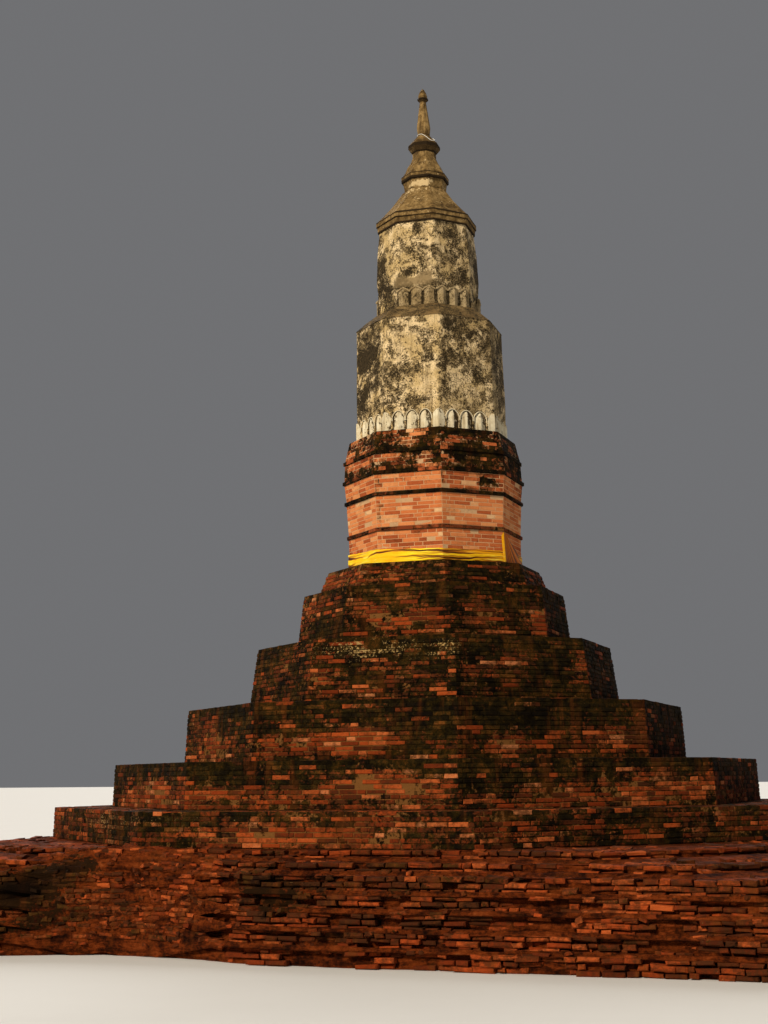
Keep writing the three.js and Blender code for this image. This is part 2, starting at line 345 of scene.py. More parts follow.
def stucco_paint(name, base, warm, dirt=0.0):
    """Old lime stucco: cream under ragged brown stains, flaked edges, dark lichen and streaks."""
    p = Paint(name, roughness=0.95, specular=0.1)
    growth = p.attribute("growth")
    speck = p.noise(42, 8, 0.74)
    middle = p.noise(11, 10, 0.76, 0.3)
    ragged = p.noise(3.3, 12, 0.78, 0.5)
    colour = p.stained(base, p.noise(2.4, 7, 0.66), 0.40, 0.60, warm)
    colour = p.stained(colour, speck, 0.46, 0.62, dimmed(warm, 0.5), 0.5)
    colour = p.stained(colour, p.drawn_out(8.5, 0.6, 8, 0.66), 0.50, 0.64, (0.16, 0.105, 0.045), 0.5)
    veil = p.total((ragged, 1.0), (middle, 0.65), (speck, 0.6), (growth, 0.36))
    veil = p.step(veil, 1.10 - dirt, 1.15 - dirt, 0.0, 0.85)
    browns = p.stained((0.085, 0.055, 0.023), middle, 0.4, 0.6, (0.25, 0.175, 0.08))
    colour = p.mix(veil, colour, browns)
    dots = p.total((speck, 1.0), (p.noise(2.7, 4), 0.45))
    colour = p.stained(colour, dots, 0.80, 0.84, (0.050, 0.032, 0.014), 0.85)
    rims = p.math("ABSOLUTE", p.math("SUBTRACT", p.noise(7.5, 9, 0.72, 0.9), 0.5))
    flaked = p.step(p.total((ragged, 1.0), (growth, 0.3)), 0.46, 0.54, 0.0, 0.9)
    flaked = p.math("MULTIPLY", p.step(rims, 0.008, 0.026, 1.0, 0.0), flaked)
    colour = p.mix(flaked, colour, (0.060, 0.040, 0.018))
    clustered = p.total((middle, 1.0), (ragged, 0.7), (speck, 1.0), (growth, 0.46))
    crust = p.step(clustered, 1.42 - dirt, 1.46 - dirt)
    colour = p.mix(crust, colour, p.ramp(p.noise(34, 6, 0.7), *CRUST_STOPS))
    smear = p.mix(middle, (0.16, 0.105, 0.045), (0.36, 0.26, 0.13))
    colour = p.mix(p.math("MULTIPLY", p.attribute("smear"), 0.9), colour, smear)
    cracks = p.step(p.cells(5.5, "DISTANCE_TO_EDGE"), 0.004, 0.014, 0.7, 0.0)
    cracks = p.math("MULTIPLY", cracks, p.step(p.noise(1.9, 3), 0.54, 0.62))
    colour = p.mix(cracks, colour, (0.06, 0.04, 0.02))
    relief = p.total((speck, 0.5), (middle, 0.9), (crust, 0.6), (veil, -0.4), (cracks, -0.8))
    return p.finish(colour, relief, depth=0.012)


def roof_paint(name, depth=0.008):
    """Weathered plaster of the little roofs: tan to olive brown, darker along the lips from dirt and
    painted shade, and in painted shade on faces turned downward.
    """
    p = Paint(name, roughness=0.95, specular=0.1)
    growth = p.attribute("growth")
    fine = p.noise(110, 7, 0.7)
    middle = p.noise(9, 10, 0.74, 0.4)
    blend = p.total((middle, 0.9), (p.noise(2.2, 6, 0.6), 0.5), (fine, 0.2))
    colour = p.ramp(p.math("SUBTRACT", blend, 0.28), *TAN_STOPS)
    # Painted shade: faces turned downward, under lips and eaves, are darkened towards near black.
    colour = p.mix(p.step(p.facing_up(), -0.9, 0.1, 0.8, 0.0), colour, (0.022, 0.013, 0.006))
    dirt = p.total((p.drawn_out(16, 1.3, 7, 0.66), 1.0), (growth, 0.30))
    colour = p.stained(colour, dirt, 0.52, 0.68, (0.050, 0.030, 0.012), 0.75)
    flakes = p.total((p.noise(22, 8, 0.76), 1.0), (p.noise(3, 4), 0.35), (growth, -0.25))
    colour = p.stained(colour, flakes, 0.78, 0.83, (0.62, 0.46, 0.24))
    # Near black where growth is high, which includes the painted shade lines under the lips.
    colour = p.stained(colour, growth, 0.45, 0.95, (0.018, 0.011, 0.005), 0.92)
    return p.finish(colour, p.total((fine, 0.4), (middle, 0.8), (flakes, 0.5)), depth=depth)


def limewash_paint(name):
    """Pale limewash, streaked and spotted with dirt."""
    p = Paint(name, roughness=0.92, specular=0.12)
    fine = p.noise(100, 7, 0.7)
    patches = p.noise(5, 7, 0.65)
    colour = p.stained((0.78, 0.70, 0.50), patches, 0.40, 0.60, (0.64, 0.54, 0.35))
    runs = p.drawn_out(30, 2.2, 6, 0.66)
    colour = p.stained(colour, runs, 0.50, 0.66, (0.25, 0.175, 0.085), 0.65)
    colour = p.stained(colour, fine, 0.5, 0.8, (0.33, 0.24, 0.12), 0.5)
    middle = p.noise(13, 9, 0.74, 0.3)
    dirt = p.total((middle, 1.0), (p.noise(2.4, 4), 0.4), (p.attribute("growth"), 0.25))
    spots = p.step(dirt, 0.80, 0.87)
    colour = p.mix(spots, colour, (0.07, 0.045, 0.02))
    return p.finish(colour, p.total((fine, 0.5), (spots, 0.5)), depth=0.005)


def cloth_paint(name):
    """Thin satin cloth with a fine weave, with painted highlights in pale streaks, painted shade in its
    creases, and a deeper orange painted as shade on the faces turned from the light.
    """
    p = Paint(name, roughness=0.6, specular=0.12)
    weave = p.total((p.drawn_out(55, 900, 2, 0.5, 0), 0.5), (p.drawn_out(700, 60, 2, 0.5, 0), 0.5))
    colour = p.stained((1.0, 0.56, 0.004), p.noise(1.1, 4, 0.6), 0.40, 0.62, (1.0, 0.76, 0.012))
    # Streaks along the cloth: darker orange in some, and pale yellow painted highlights in others.
    cloth_streaks = p.drawn_out(2, 22, 5, 0.6, 0.3)
    colour = p.stained(colour, cloth_streaks, 0.54, 0.66, (0.78, 0.30, 0.003), 0.4)
    colour = p.mix(p.step(cloth_streaks, 0.38, 0.46, 0.8, 0.0), colour, (1.0, 0.84, 0.10))
    # Painted shade: a deeper orange where the deep attribute is set, over the faces turned from the key
    # light.
    colour = p.mix(p.attribute("deep"), colour, (0.68, 0.18, 0.003))
    crease = p.attribute("crease")
    # Painted shade in the creases: the crease attribute darkens the cloth to brown and near black.
    colour = p.stained(colour, crease, 0.20, 0.46, (0.33, 0.07, 0.003), 0.85)
    colour = p.stained(colour, crease, 0.46, 0.68, (0.040, 0.009, 0.001), 0.97)
    p.shader.inputs["Sheen Weight"].default_value = 0.08
    p.shader.inputs["Sheen Roughness"].default_value = 0.4
    return p.finish(colour, weave, depth=0.0008)


def thread_paint(name):
    """Twisted white cotton, greyer along the twist as painted shade of its grooves."""
    p = Paint(name, roughness=0.85, specular=0.2)
    twist = p.drawn_out(420, 160, 3, 0.5, 0)
    # Painted shade: grey along the grooves of the twist.
    return p.finish(p.mix(twist, (0.60, 0.57, 0.48), (0.86, 0.84, 0.77)), twist, depth=0.0012)


def make_paints():
    return {
        "drum": brick_paint("drum_brick", DRUM_STOPS, wash=0.12),
        "terrace": brick_paint("terrace_brick", TERRACE_STOPS),
        "rubble": brick_paint("worn_brick", RUBBLE_STOPS, RUBBLE_MOSS, wash=0.5, grimy=0.44),
        "drum_mortar": mortar_paint("drum_mortar", (0.82, 0.50, 0.26), wash=0.1, low=1.96),
        "terrace_mortar": mortar_paint("terrace_mortar", (0.25, 0.105, 0.028), wash=0.3, low=1.90),
        "earth": earth_paint("brick_earth"),
        "stucco": stucco_paint("stucco", (0.82, 0.63, 0.36), (0.56, 0.40, 0.18)),
        "petal": stucco_paint("petal_stucco", (0.45, 0.34, 0.185), (0.33, 0.235, 0.112), -0.10),
        "shoulder": stucco_paint("shoulder_stucco", (0.30, 0.20, 0.085), (0.20, 0.125, 0.05), 0.02),
        "limewash": limewash_paint("limewash"),
        "roof": roof_paint("roof_stucco"),
        "finial": roof_paint("finial_stucco", depth=0.002),
        "cloth": cloth_paint("sash_cloth"),
        "thread": thread_paint("cotton_thread"),
    }


# Geometry

# Points nearer a solid's middle than this share of its furthest point aren't on its outline.
INNER_SHARE = 0.4
LEVEL_TOLERANCE = 0.0006
# The outline that stands for a pointed top, as a share of the one below it.
TIP_SHARE = 0.04


def vertex_places(mesh):
    places = np.empty(len(mesh.vertices) * 3)
    mesh.vertices.foreach_get("co", places)
    return places.reshape(-1, 3)


def node_points(node):
    return np.unique(np.round(vertex_places(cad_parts[node].data), 4), axis=0)


def ring_at(node, height):
    """The outline's corners of a solid at one of its levels, in order round it."""
    points = node_points(node)
    points = points[abs(points[:, 2] - height) < LEVEL_TOLERANCE]
    if len(points) < SIDES:
        return points[:1]
    flat = points - (points.min(0) + points.max(0)) / 2
    reach = np.hypot(flat[:, 0], flat[:, 1])
    outer = reach > INNER_SHARE * reach.max()
    return points[outer][np.argsort(azimuth_of(flat[outer]))]


def levels_of(node):
    return sorted(set(node_points(node)[:, 2]))


def rings_of(node):
    """The octagons of a solid, foot first, a pointed top as a very small one."""
    rings = []
    for height in levels_of(node):
        ring = ring_at(node, height)
        if len(ring) < SIDES:
            ring = ring.mean(0) + (rings[-1] - rings[-1].mean(0)) * [TIP_SHARE, TIP_SHARE, 0]
        rings.append(ring)
    return rings


def unit(vectors):
    return vectors / np.maximum(np.linalg.norm(vectors, axis=-1, keepdims=True), 1e-12)


def right_of(along):
    """The level direction to the right of a course's direction: out of the wall."""
    return np.array([along[1], -along[0], 0])


def quads_between(rows, count, closed=True):
    """Quads between rows of as many points each, each row closed or open."""
    here = np.arange(count if closed else count - 1)
    following = (here + 1) % count
    first = np.stack([here, following, following + count, here + count], axis=1)
    return (first + count * np.arange(rows - 1)[:, None, None]).reshape(-1, 4)


def joined(points, faces, more_points, more_faces):
    """Two meshes as one."""
    moved = [[i + len(points) for i in face] for face in more_faces]
    return np.concatenate([points, more_points]), [*faces, *moved]


def prism(rings):
    """A closed solid through outlines of as many points each, foot first."""
    count = len(rings[0])
    top = (len(rings) - 1) * count + np.arange(count)
    return np.concatenate(rings), [np.arange(count)[::-1], *quads_between(len(rings), count), top]


def mesh_object(name, points, faces, materials, indices=None, smooth=False, **attributes):
    mesh = bpy.data.meshes.new(name)
    mesh.from_pydata(np.asarray(points).tolist(), [], [list(map(int, face)) for face in faces])
    for material in materials:
        mesh.materials.append(material)
    if indices is not None:
        mesh.polygons.foreach_set("material_index", np.asarray(indices, np.int32))
    for label, values in attributes.items():
        layer = mesh.attributes.new(label, "FLOAT", "POINT")
        layer.data.foreach_set("value", np.asarray(values, np.float32))
    mesh.polygons.foreach_set("use_smooth", np.full(len(mesh.polygons), smooth))
    mesh.update()
    return new_object(name, mesh)


def soften_shading(piece, degrees):
    """Smooth shading, kept crisp where faces meet at more than this angle."""
    mesh = piece.data
    mesh.polygons.foreach_set("use_smooth", np.ones(len(mesh.polygons), bool))
    mesh.set_sharp_from_angle(angle=math.radians(degrees))
    mesh.update()


def stand_for(piece, node):
    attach(piece, "root")
    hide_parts(node)
    return piece


# Brickwork

BRICK_POINTS = 12
# A brick's points move by these shares of its wear along, up and out of the wall.
WEAR_SHARES = (0.6, 0.3, 0.35)
# How much darker a dark brick is, at least and at most, and how much less a bare one is grown over.
DARKER = (0.15, 0.4)
BARER = 0.45
HEADER_SHARE = 0.3
# Every other course starts with a header cut to this share of its length.
CLOSER_SHARE = 0.55
SHORTEST_BRICK = 0.05
# How far back a recessed brick lies.
RECESS_DEPTHS = (0.006, 0.028)
HEIGHT_SPREAD = 0.0012
PAVING_DEPTH = 0.06
PAVING_MISSING = 0.03


class Bricks:
    """Collects bricks, then makes one mesh of them. Each is a worn block with bevelled edges."""

    def __init__(self, seed, wear, chamfer, tone, spread, dark=0.12, bare=0.05):
        self.rows = []
        self.random = np.random.default_rng(SCENE_SEED + seed)
        self.wear, self.chamfer = wear, chamfer
        self.tone, self.spread, self.dark, self.bare = tone, spread, dark, bare

    def any_tone(self):
        if self.random.random() < self.dark:
            return self.tone - self.random.uniform(*DARKER)
        return min(1.0, max(0.0, self.random.normal(self.tone, self.spread)))

    def growth_bias(self):
        """How much more or less growth each brick carries than its surroundings."""
        bias = self.random.normal(0, 0.10, len(self.rows))
        return bias - np.where(self.random.random(len(self.rows)) < self.bare, BARER, 0.0)

    def add(self, face, along, out, length, height, depth, rise, tone=None):
        tone = self.any_tone() if tone is None else tone
        self.rows.append((*face, *along, *out, length, height, depth, tone, rise))

    def geometry(self):
        """Points, faces, tones, centres and rises of all the bricks."""
        data = np.array(self.rows)
        face, along, out = data[:, 0:3], unit(data[:, 3:6]), unit(data[:, 6:9])
        length, height, depth, tone, rise = data[:, 9:].T
        up = unit(np.cross(out, along))
        count = len(data)
        chamfer = np.minimum(self.chamfer * self.random.uniform(0.6, 1.6, count), 0.3 * height)
        wears = [self.wear * share for share in WEAR_SHARES]
        points = []
        for inset, back in ((1, 0), (0, 1), (0, None)):
            for side, lift in ((-1, -1), (1, -1), (1, 1), (-1, 1)):
                u = side * (length / 2 - inset * chamfer) + self.random.normal(0, wears[0], count)
                v = lift * (height / 2 - inset * chamfer) + self.random.normal(0, wears[1], count)
                w = -depth
                if back is not None:
                    w = -back * chamfer + self.random.normal(0, wears[2], count)
                points.append(face + along * u[:, None] + up * v[:, None] + out * w[:, None])
        points = np.stack(points, axis=1).reshape(-1, 3)
        sides = quads_between(3, 4)[:, [3, 2, 1, 0]]
        block = np.vstack([[[0, 1, 2, 3], [11, 10, 9, 8]], sides])
        faces = (block + BRICK_POINTS * np.arange(count)[:, None, None]).reshape(-1, 4)
        return points, faces, *(np.repeat(each, BRICK_POINTS, axis=0) for each in (tone, face, rise))


def brickwork(node, suffix, bricks, core, materials, growth_of, ochre_spots=()):
    """Joins bricks and their mortar core into the piece that stands for a node."""
    points, faces, tone, centres, rise = bricks.geometry()
    core_points, core_faces, core_rise = core
    indices = [0] * len(faces) + [1] * len(core_faces)
    # The growth varies less over one brick than it does over the wall.
    places = np.concatenate([0.35 * centres + 0.65 * points, core_points])
    growth = growth_of(places, np.concatenate([rise, core_rise]))
    growth[: len(points)] += np.repeat(bricks.growth_bias(), BRICK_POINTS)
    looks = {"tone": np.concatenate([tone, np.zeros(len(core_points))]), "growth": growth}
    looks["ochre"] = spotted(places, ochre_spots)
    whole = joined(points, faces, core_points, core_faces)
    return stand_for(mesh_object(node + suffix, *whole, materials, indices, **looks), node)


def shrunk(ring, inset, lift):
    """An octagon's outline moved in from its faces, and lifted."""
    middle = ring.mean(0)
    flat = ring[:, :2] - middle[:2]
    scale = 1 - inset / (np.hypot(flat[:, 0], flat[:, 1]) * TO_FACE)
    height = np.full(len(ring), ring[0][2] + lift)
    return np.column_stack([middle[:2] + flat * scale[:, None], height])


def dense(ring, a_side):
    """An outline with more points along each of its sides."""
    following = np.roll(ring, -1, axis=0)
    steps = np.arange(a_side) / a_side
    return (ring[:, None] + (following - ring)[:, None] * steps[None, :, None]).reshape(-1, 3)


def mortar_core(foot, head, inset, step, lift=0.0, drop=0.0):
    """The mortar body behind a wall's bricks, in a fine grid, with how far up each point is."""
    foot, head = shrunk(foot, inset, lift), shrunk(head, inset, -drop)
    a_side = max(2, round(np.linalg.norm(foot[1] - foot[0]) / step))
    shares = np.linspace(0, 1, max(2, round((head[0][2] - foot[0][2]) / step)) + 1)
    low, high = dense(foot, a_side), dense(head, a_side)
    return *prism([low + (high - low) * t for t in shares]), np.repeat(shares, len(low))


def course_lengths(random, total, course):
    """Lengths of the bricks of one course, stretchers with a header here and there, filling it."""
    lengths = [HEADER_LENGTH * (CLOSER_SHARE if course % 2 else 1.0)]
    while sum(lengths) + JOINT * len(lengths) < total:
        header = random.random() < HEADER_SHARE
        lengths.append((HEADER_LENGTH if header else BRICK_LENGTH) * random.uniform(0.94, 1.05))
    lengths[-1] -= sum(lengths) + JOINT * (len(lengths) - 1) - total
    if lengths[-1] < SHORTEST_BRICK:
        lengths[-2] += lengths[-1] + JOINT
        lengths.pop()
    return lengths


def lay_wall(
    bricks, foot, head, recess, spread, ragged=0.0, missing=0.0, depth=BRICK_DEPTH, corner=0.0, bed=JOINT
):
    """Courses of bricks over every face between an octagon's foot and head.

    Recess and missing are the shares of bricks that lie back or are gone. Spread is how uneven
    the face is, ragged how much more the top course lies back, and corner how far each course
    stops short of the corners."""
    height = head[0][2] - foot[0][2]
    courses = max(1, round(height / COURSE))
    random = bricks.random
    for k in range(SIDES):
        following = (k + 1) % SIDES
        low, high = (foot[k], foot[following]), (head[k], head[following])
        along = unit(low[1] - low[0])
        out = unit(np.cross(along, unit((high[0] + high[1] - low[0] - low[1]) / 2)))
        for course in range(courses):
            t = (course + 0.5) / courses
            start = low[0] + (high[0] - low[0]) * t + along * corner
            end = low[1] + (high[1] - low[1]) * t - along * corner
            top = course == courses - 1
            at = 0.0
            for length in course_lengths(random, np.linalg.norm(end - start), course + k):
                centre = start + along * (at + length / 2)
                at += length + JOINT
                if random.random() < missing * (3 if top else 1):
                    continue
                back = abs(random.normal(0, spread))
                if random.random() < recess:
                    back += random.uniform(*RECESS_DEPTHS)
                if top:
                    back += ragged * random.random()
                tall = height / courses - bed + random.normal(0, HEIGHT_SPREAD)
                bricks.add(centre - out * back, along, out, length, tall, depth, t)


def pave_ledge(bricks, edge, inner_reach):
    """Rows of bricks lying flat on a ledge, parallel to each face of the octagon."""
    middle = edge.mean(0)
    random = bricks.random
    for k in range(SIDES):
        a, b = edge[k], edge[(k + 1) % SIDES]
        along = unit(b - a)
        inward = unit(np.cross((0, 0, 1.0), along))
        apothem = np.dot(a - middle, -inward)
        row = 1
        while apothem - row * ROW_PITCH > inner_reach - 0.1:
            offset = (row + 0.5) * ROW_PITCH
            reach = np.linalg.norm(b - a) / 2 * (1 - offset / apothem)
            centre = (a + b) / 2 + inward * offset
            at = -reach - random.uniform(0, BRICK_LENGTH)
            while at < reach:
                length = BRICK_LENGTH * random.uniform(0.9, 1.05)
                spot = centre + along * (at + length / 2)
                at += length + JOINT
                if abs(at - length / 2) > reach + 0.02 or random.random() < PAVING_MISSING:
                    continue
                spot = spot - [0, 0, abs(random.normal(0, 0.004)) + 0.001]
                turn = along + inward * random.normal(0, 0.012)
                bricks.add(spot, turn, (0, 0, 1), length, BRICK_WIDTH, PAVING_DEPTH, 1.0)
            row += 1


def wall_growth(seed, foot, head, size, patchiness, lone, spots=()):
    """Moss and soot: one amount at a wall's foot, another at its head, in broad patches."""

    def growth(places, rises):
        amount = foot + (head - foot) * smooth_step(rises, 0.05, 0.8)
        amount = amount + patchiness * (cloudy(places, size, seed) - 0.5)
        single = lattice_noise(places * 7.3, 1.0, seed + 5)
        return amount - 0.6 * smooth_step(single, 1 - lone, 1.0) + spotted(places, spots)

    return growth


# Each terrace: the piece above it, its growth at the foot and head, how ragged its rim is, and
# the spots where the growth is thinner or thicker.
TERRACE_LOOKS = (
    ("terrace_1", "terrace_2", 0.58, 0.62, 0.012, (
        (-3, 1.6, 1.2, 0.12, -0.4), (-20, 1.75, 1.4, 0.2, 0.1),
    )),
    ("terrace_2", "terrace_3", 0.52, 0.80, 0.016, (
        (-20, 2.5, 0.9, 0.16, 0.1), (-21, 2.2, 0.5, 0.12, -0.3), (10, 2.34, 0.8, 0.2, -0.4),
        (4, 2.2, 1.4, 0.12, -0.25), (-44, 2.2, 1.4, 0.2, -0.3), (60, 2.25, 1.2, 0.2, -0.2),
    )),
    ("terrace_3", "terrace_4", 0.72, 0.92, 0.016, (
        (2, 2.94, 0.42, 0.17, -0.75), (-8, 2.88, 0.5, 0.15, -0.35), (-19, 2.89, 0.5, 0.15, -0.3),
        (32, 2.92, 0.5, 0.2, -0.45), (59, 2.99, 0.5, 0.2, -0.4), (-47, 3.0, 1.1, 0.4, -0.28),
    )),
    ("terrace_4", "tier_5", 0.74, 0.80, 0.020, (
        (-48, 4.18, 0.6, 0.4, -0.15), (-18, 3.98, 0.4, 0.12, -0.3), (1, 4.17, 0.3, 0.08, -0.35),
        (34, 4.09, 0.4, 0.16, -0.3), (45, 4.21, 0.3, 0.15, -0.35), (67, 4.19, 0.2, 0.3, -0.45),
    )),
    ("tier_5", "tier_6", 0.80, 0.85, 0.030, (
        (-9, 5.05, 0.35, 0.12, -0.4), (12, 5.0, 0.3, 0.14, -0.4), (-3, 4.84, 0.35, 0.12, -0.3),
        (40, 5.02, 0.4, 0.18, -0.25), (66, 4.94, 0.25, 0.3, -0.5), (-58, 5.26, 0.7, 0.3, -0.3),
    )),
    ("tier_6", "drum_band_1", 0.62, 0.68, 0.060, ((-56, 5.79, 0.5, 0.12, -0.3),)),
)
OCHRE_SPOTS = (
    (-13, 4.42, 0.5, 0.20, 0.46), (4, 4.39, 0.6, 0.22, 0.54), (20, 4.38, 0.35, 0.18, 0.46),
    (-40, 1.75, 1.2, 0.22, 0.45), (-22, 1.8, 1.0, 0.10, 0.3),
)


def build_terraces(paints):
    for index, (node, above, low, high, ragged, spots) in enumerate(TERRACE_LOOKS):
        foot, head = rings_of(node)
        bricks = Bricks(index, wear=0.005, chamfer=0.007, tone=0.46, spread=0.24, bare=0.08)
        lay_wall(bricks, foot, head, recess=0.10, spread=0.003, ragged=ragged, missing=0.012)
        over = rings_of(above)[0]
        pave_ledge(bricks, head, np.hypot(*(over[0] - over.mean(0))[:2]) * TO_FACE)
        core = mortar_core(foot, head, 0.012, 0.12, drop=0.012)
        growth = wall_growth(40 + index, low, high, 1.1, 0.55, 0.06, spots)
        materials = [paints["terrace"], paints["terrace_mortar"]]
        brickwork(node, "_brickwork", bricks, core, materials, growth, OCHRE_SPOTS)


# Each wall band of the drum, the lowest first: mean tone, growth and the spots where it is
# thinner or thicker.
DRUM_LOOKS = (
    (0.48, -0.15, ()),
    (0.62, -0.30, ((-20, 6.95, 0.07, 0.25, 0.6), (-60, 7.1, 0.3, 0.06, 0.5))),
    (0.52, -0.15, (
        (52, 7.42, 0.10, 0.12, 1.2), (60, 7.34, 0.16, 0.12, 0.9), (12, 7.47, 0.08, 0.06, 0.8),
        (23.6, 7.39, 0.05, 0.2, 0.8), (112, 7.4, 0.5, 0.2, 0.5), (-60, 7.25, 0.5, 0.06, 0.6),
        (45, 7.23, 0.4, 0.03, 0.8), (-2, 7.46, 0.04, 0.08, 0.9), (-20, 7.36, 0.07, 0.2, 0.5),
    )),
    (0.42, 0.62, (
        (-15, 7.82, 0.22, 0.08, -0.5), (11, 7.74, 0.12, 0.08, -0.3), (-47, 7.79, 0.4, 0.08, -0.5),
        (20, 7.75, 0.05, 0.15, 0.3), (50, 7.8, 0.3, 0.2, 0.3),
    )),
    (0.46, 0.66, (
        (1, 8.07, 0.12, 0.06, -0.4), (36, 8.09, 0.16, 0.05, -0.4), (-60, 8.0, 0.3, 0.05, -0.3),
    )),
)
# Each string course, the lowest first: mean tone and growth, both set dark as painted shade of the line
# under each course, with some dirt.
STRING_LOOKS = ((0.05, 0.50), (0.10, 0.75), (0.16, 0.80), (0.20, 0.85))


def build_drum(paints):
    for index, (tone, amount, spots) in enumerate(DRUM_LOOKS):
        node = f"drum_band_{index + 1}"
        foot, head = rings_of(node)
        bricks = Bricks(20 + index, wear=0.0022, chamfer=0.003, tone=tone, spread=0.17, dark=0.10)
        lay_wall(bricks, foot, head, recess=0.02, spread=0.0015, depth=0.1, corner=0.006, bed=0.0085)
        core = mortar_core(foot, head, 0.004, 0.05)
        growth = wall_growth(90 + index, amount + 0.08, amount + 0.04, 0.4, 0.7, 0.06, spots)
        materials = [paints["drum"], paints["drum_mortar"]]
        brickwork(node, "_brickwork", bricks, core, materials, growth)
    for index, (tone, amount) in enumerate(STRING_LOOKS):
        node = f"string_course_{index + 1}"
        foot, head = rings_of(node)
        bricks = Bricks(30 + index, wear=0.004, chamfer=0.005, tone=tone, spread=0.12)
        lay_wall(bricks, foot, head, recess=0.1, spread=0.004, depth=0.16)
        core = mortar_core(foot, head, 0.014, 0.06, lift=0.004, drop=0.004)
        growth = wall_growth(120 + index, amount, amount, 0.4, 0.6, 0.1)
        materials = [paints["drum"], paints["terrace_mortar"]]
        brickwork(node, "_brickwork", bricks, core, materials, growth)


# The old base

BASE_LAYERS = 7
BASE_LIMIT = 7.595
BASE_LOWEST = 0.002
# Where the slumped bay of each side of the base is, from the middle of that side.
SLUMP_CENTRE = -2.4
SLUMP_HALF_WIDTH = 2.1
RUBBLE_PALEST = 0.76
RUBBLE_PIECES = 900
BASE_BRICK_DEPTH = 0.135
BASE_SETBACK = 0.012
BROKEN_SHARE = 0.45
BROKEN_LENGTHS = (0.08, 0.2)
# Bricks are gone where the noise for holes is over this.
HOLE_LEVEL = 0.84
# How far the earth inside a layer stands back, and how much further at shares of its height.
CORE_INSET = 0.12
CORE_PROFILE = ((0.0, 0.0), (0.3, 0.0), (0.55, 0.01), (0.85, 0.03), (0.95, 0.12))
# Dark cavities, in painted shade, and thick growth on the old base.
BASE_SPOTS = (
    (-29, 0.85, 0.45, 0.26, 1.2), (-26, 1.18, 0.35, 0.12, 1.0), (-19, 0.66, 0.3, 0.15, 0.3),
    (-24, 0.5, 0.5, 0.2, 0.4), (-30, 0.35, 0.5, 0.12, 0.5), (-3, 1.0, 0.4, 0.2, 0.5),
    (1, 0.8, 0.4, 0.25, 0.5), (-9, 0.75, 0.25, 0.12, 0.5), (-13, 1.1, 0.3, 0.06, 0.4),
    (-8, 0.35, 0.3, 0.08, 0.4), (-15, 0.9, 0.8, 0.3, -0.3), (-4, 0.4, 0.5, 0.15, -0.2),
    (15, 0.7, 0.8, 0.4, 0.25), (30, 0.9, 0.6, 0.3, 0.2), (60, 0.8, 1.2, 0.4, 0.2),
    (150, 0.8, 1.2, 0.4, 0.2),
)


class Outline:
    """A closed outline read from the frame, walked by distance, and its reach in any direction."""

    def __init__(self, ring):
        self.ring = ring
        self.closed = np.vstack([ring, ring[:1]])
        self.steps = np.linalg.norm(np.diff(self.closed, axis=0), axis=1)
        self.marks = np.concatenate([[0], np.cumsum(self.steps)])
        self.length = self.marks[-1]
        turn = azimuth_of(ring)
        order = np.argsort(turn)
        self.turns = np.concatenate([turn[order] + lap * 2 * math.pi for lap in (-1, 0, 1)])
        self.reaches = np.tile(np.hypot(ring[order, 0], ring[order, 1]), 3)

    def at(self, distance):
        """Points on the outline and its direction there, for one distance or many."""
        distance = np.asarray(distance) % self.length
        i = np.minimum(np.searchsorted(self.marks, distance, side="right") - 1, len(self.ring) - 1)
        t = (distance - self.marks[i]) / self.steps[i]
        side = self.closed[i + 1] - self.closed[i]
        return self.closed[i] + side * t[..., None], unit(side)

    def reach(self, point):
        return np.interp(azimuth_of(point), self.turns, self.reaches)


def slumped(points):
    """How far into a slumped bay each point lies, from 0 to 1. Each side has one such bay."""
    x, y = points[:, 0], points[:, 1]
    front = np.abs(y) > np.abs(x)
    along = np.where(front, x, y) * np.where(front, -np.sign(y), np.sign(x))
    return smooth_step(1 - np.abs(along - SLUMP_CENTRE) / SLUMP_HALF_WIDTH, 0.1, 0.8)


def tone_shifts(spots):
    """Broad changes of the bricks' tone over the base."""
    return 0.9 * cloudy(spots, 1.2, 11) - 0.45


def worn_tone(bricks, shift=0.0):
    return min(RUBBLE_PALEST, max(0.0, bricks.any_tone() + shift))


def lay_base_course(bricks, outline, above, height, tall, rows, top, rise):
    """One course of the old base, its outer row ragged and rows behind it where they show."""
    random = bricks.random
    for row in range(rows):
        marks = []
        at = random.uniform(0, BRICK_LENGTH)
        while at < outline.length:
            if random.random() < BROKEN_SHARE:
                length = random.uniform(*BROKEN_LENGTHS)
            else:
                length = BRICK_LENGTH * random.uniform(0.9, 1.04)
            marks.append((*outline.at(at + length / 2), length))
            at += length + JOINT * random.uniform(0.6, 2.6)
        spots = np.array([point for point, _, _ in marks]) + [0, 0, height]
        eaten = smooth_step(cloudy(spots * [1, 1, 2.5], 0.75, 31), 0.46, 0.66)
        holes = lattice_noise(spots * [1, 1, 1.6], 0.28, 37 + row)
        looks = zip(marks, eaten, holes, tone_shifts(spots), slumped(spots))
        for (point, along, length), bite, hole, shift, slack in looks:
            out = right_of(along)
            back = BASE_SETBACK + row * ROW_PITCH + abs(random.normal(0, 0.022)) + 0.16 * bite
            back += slack * random.uniform(0, 0.12)
            if random.random() < 0.18:
                back += random.uniform(0.02, 0.08)
            centre = point - out * back
            if row and np.hypot(centre[0], centre[1]) < above.reach(centre) - 0.16:
                continue
            if hole > HOLE_LEVEL or random.random() < (0.12 if top else 0.08) + 0.22 * slack:
                continue
            lift = 0 if top else 0.012 * (shift - 0.1)
            centre[2] = height + random.normal(0, 0.005 + 0.008 * slack) + lift
            tilt = random.normal(0, 0.06 + 0.12 * slack, 3) * (1 if top else 0.7)
            tone = worn_tone(bricks, shift)
            turn, face = along + tilt * [1, 1, 0.6], out + [0, 0, tilt[2]]
            worn = tall * random.uniform(0.72, 1.0)
            bricks.add(centre, turn, face, length, worn, BASE_BRICK_DEPTH, rise, tone)


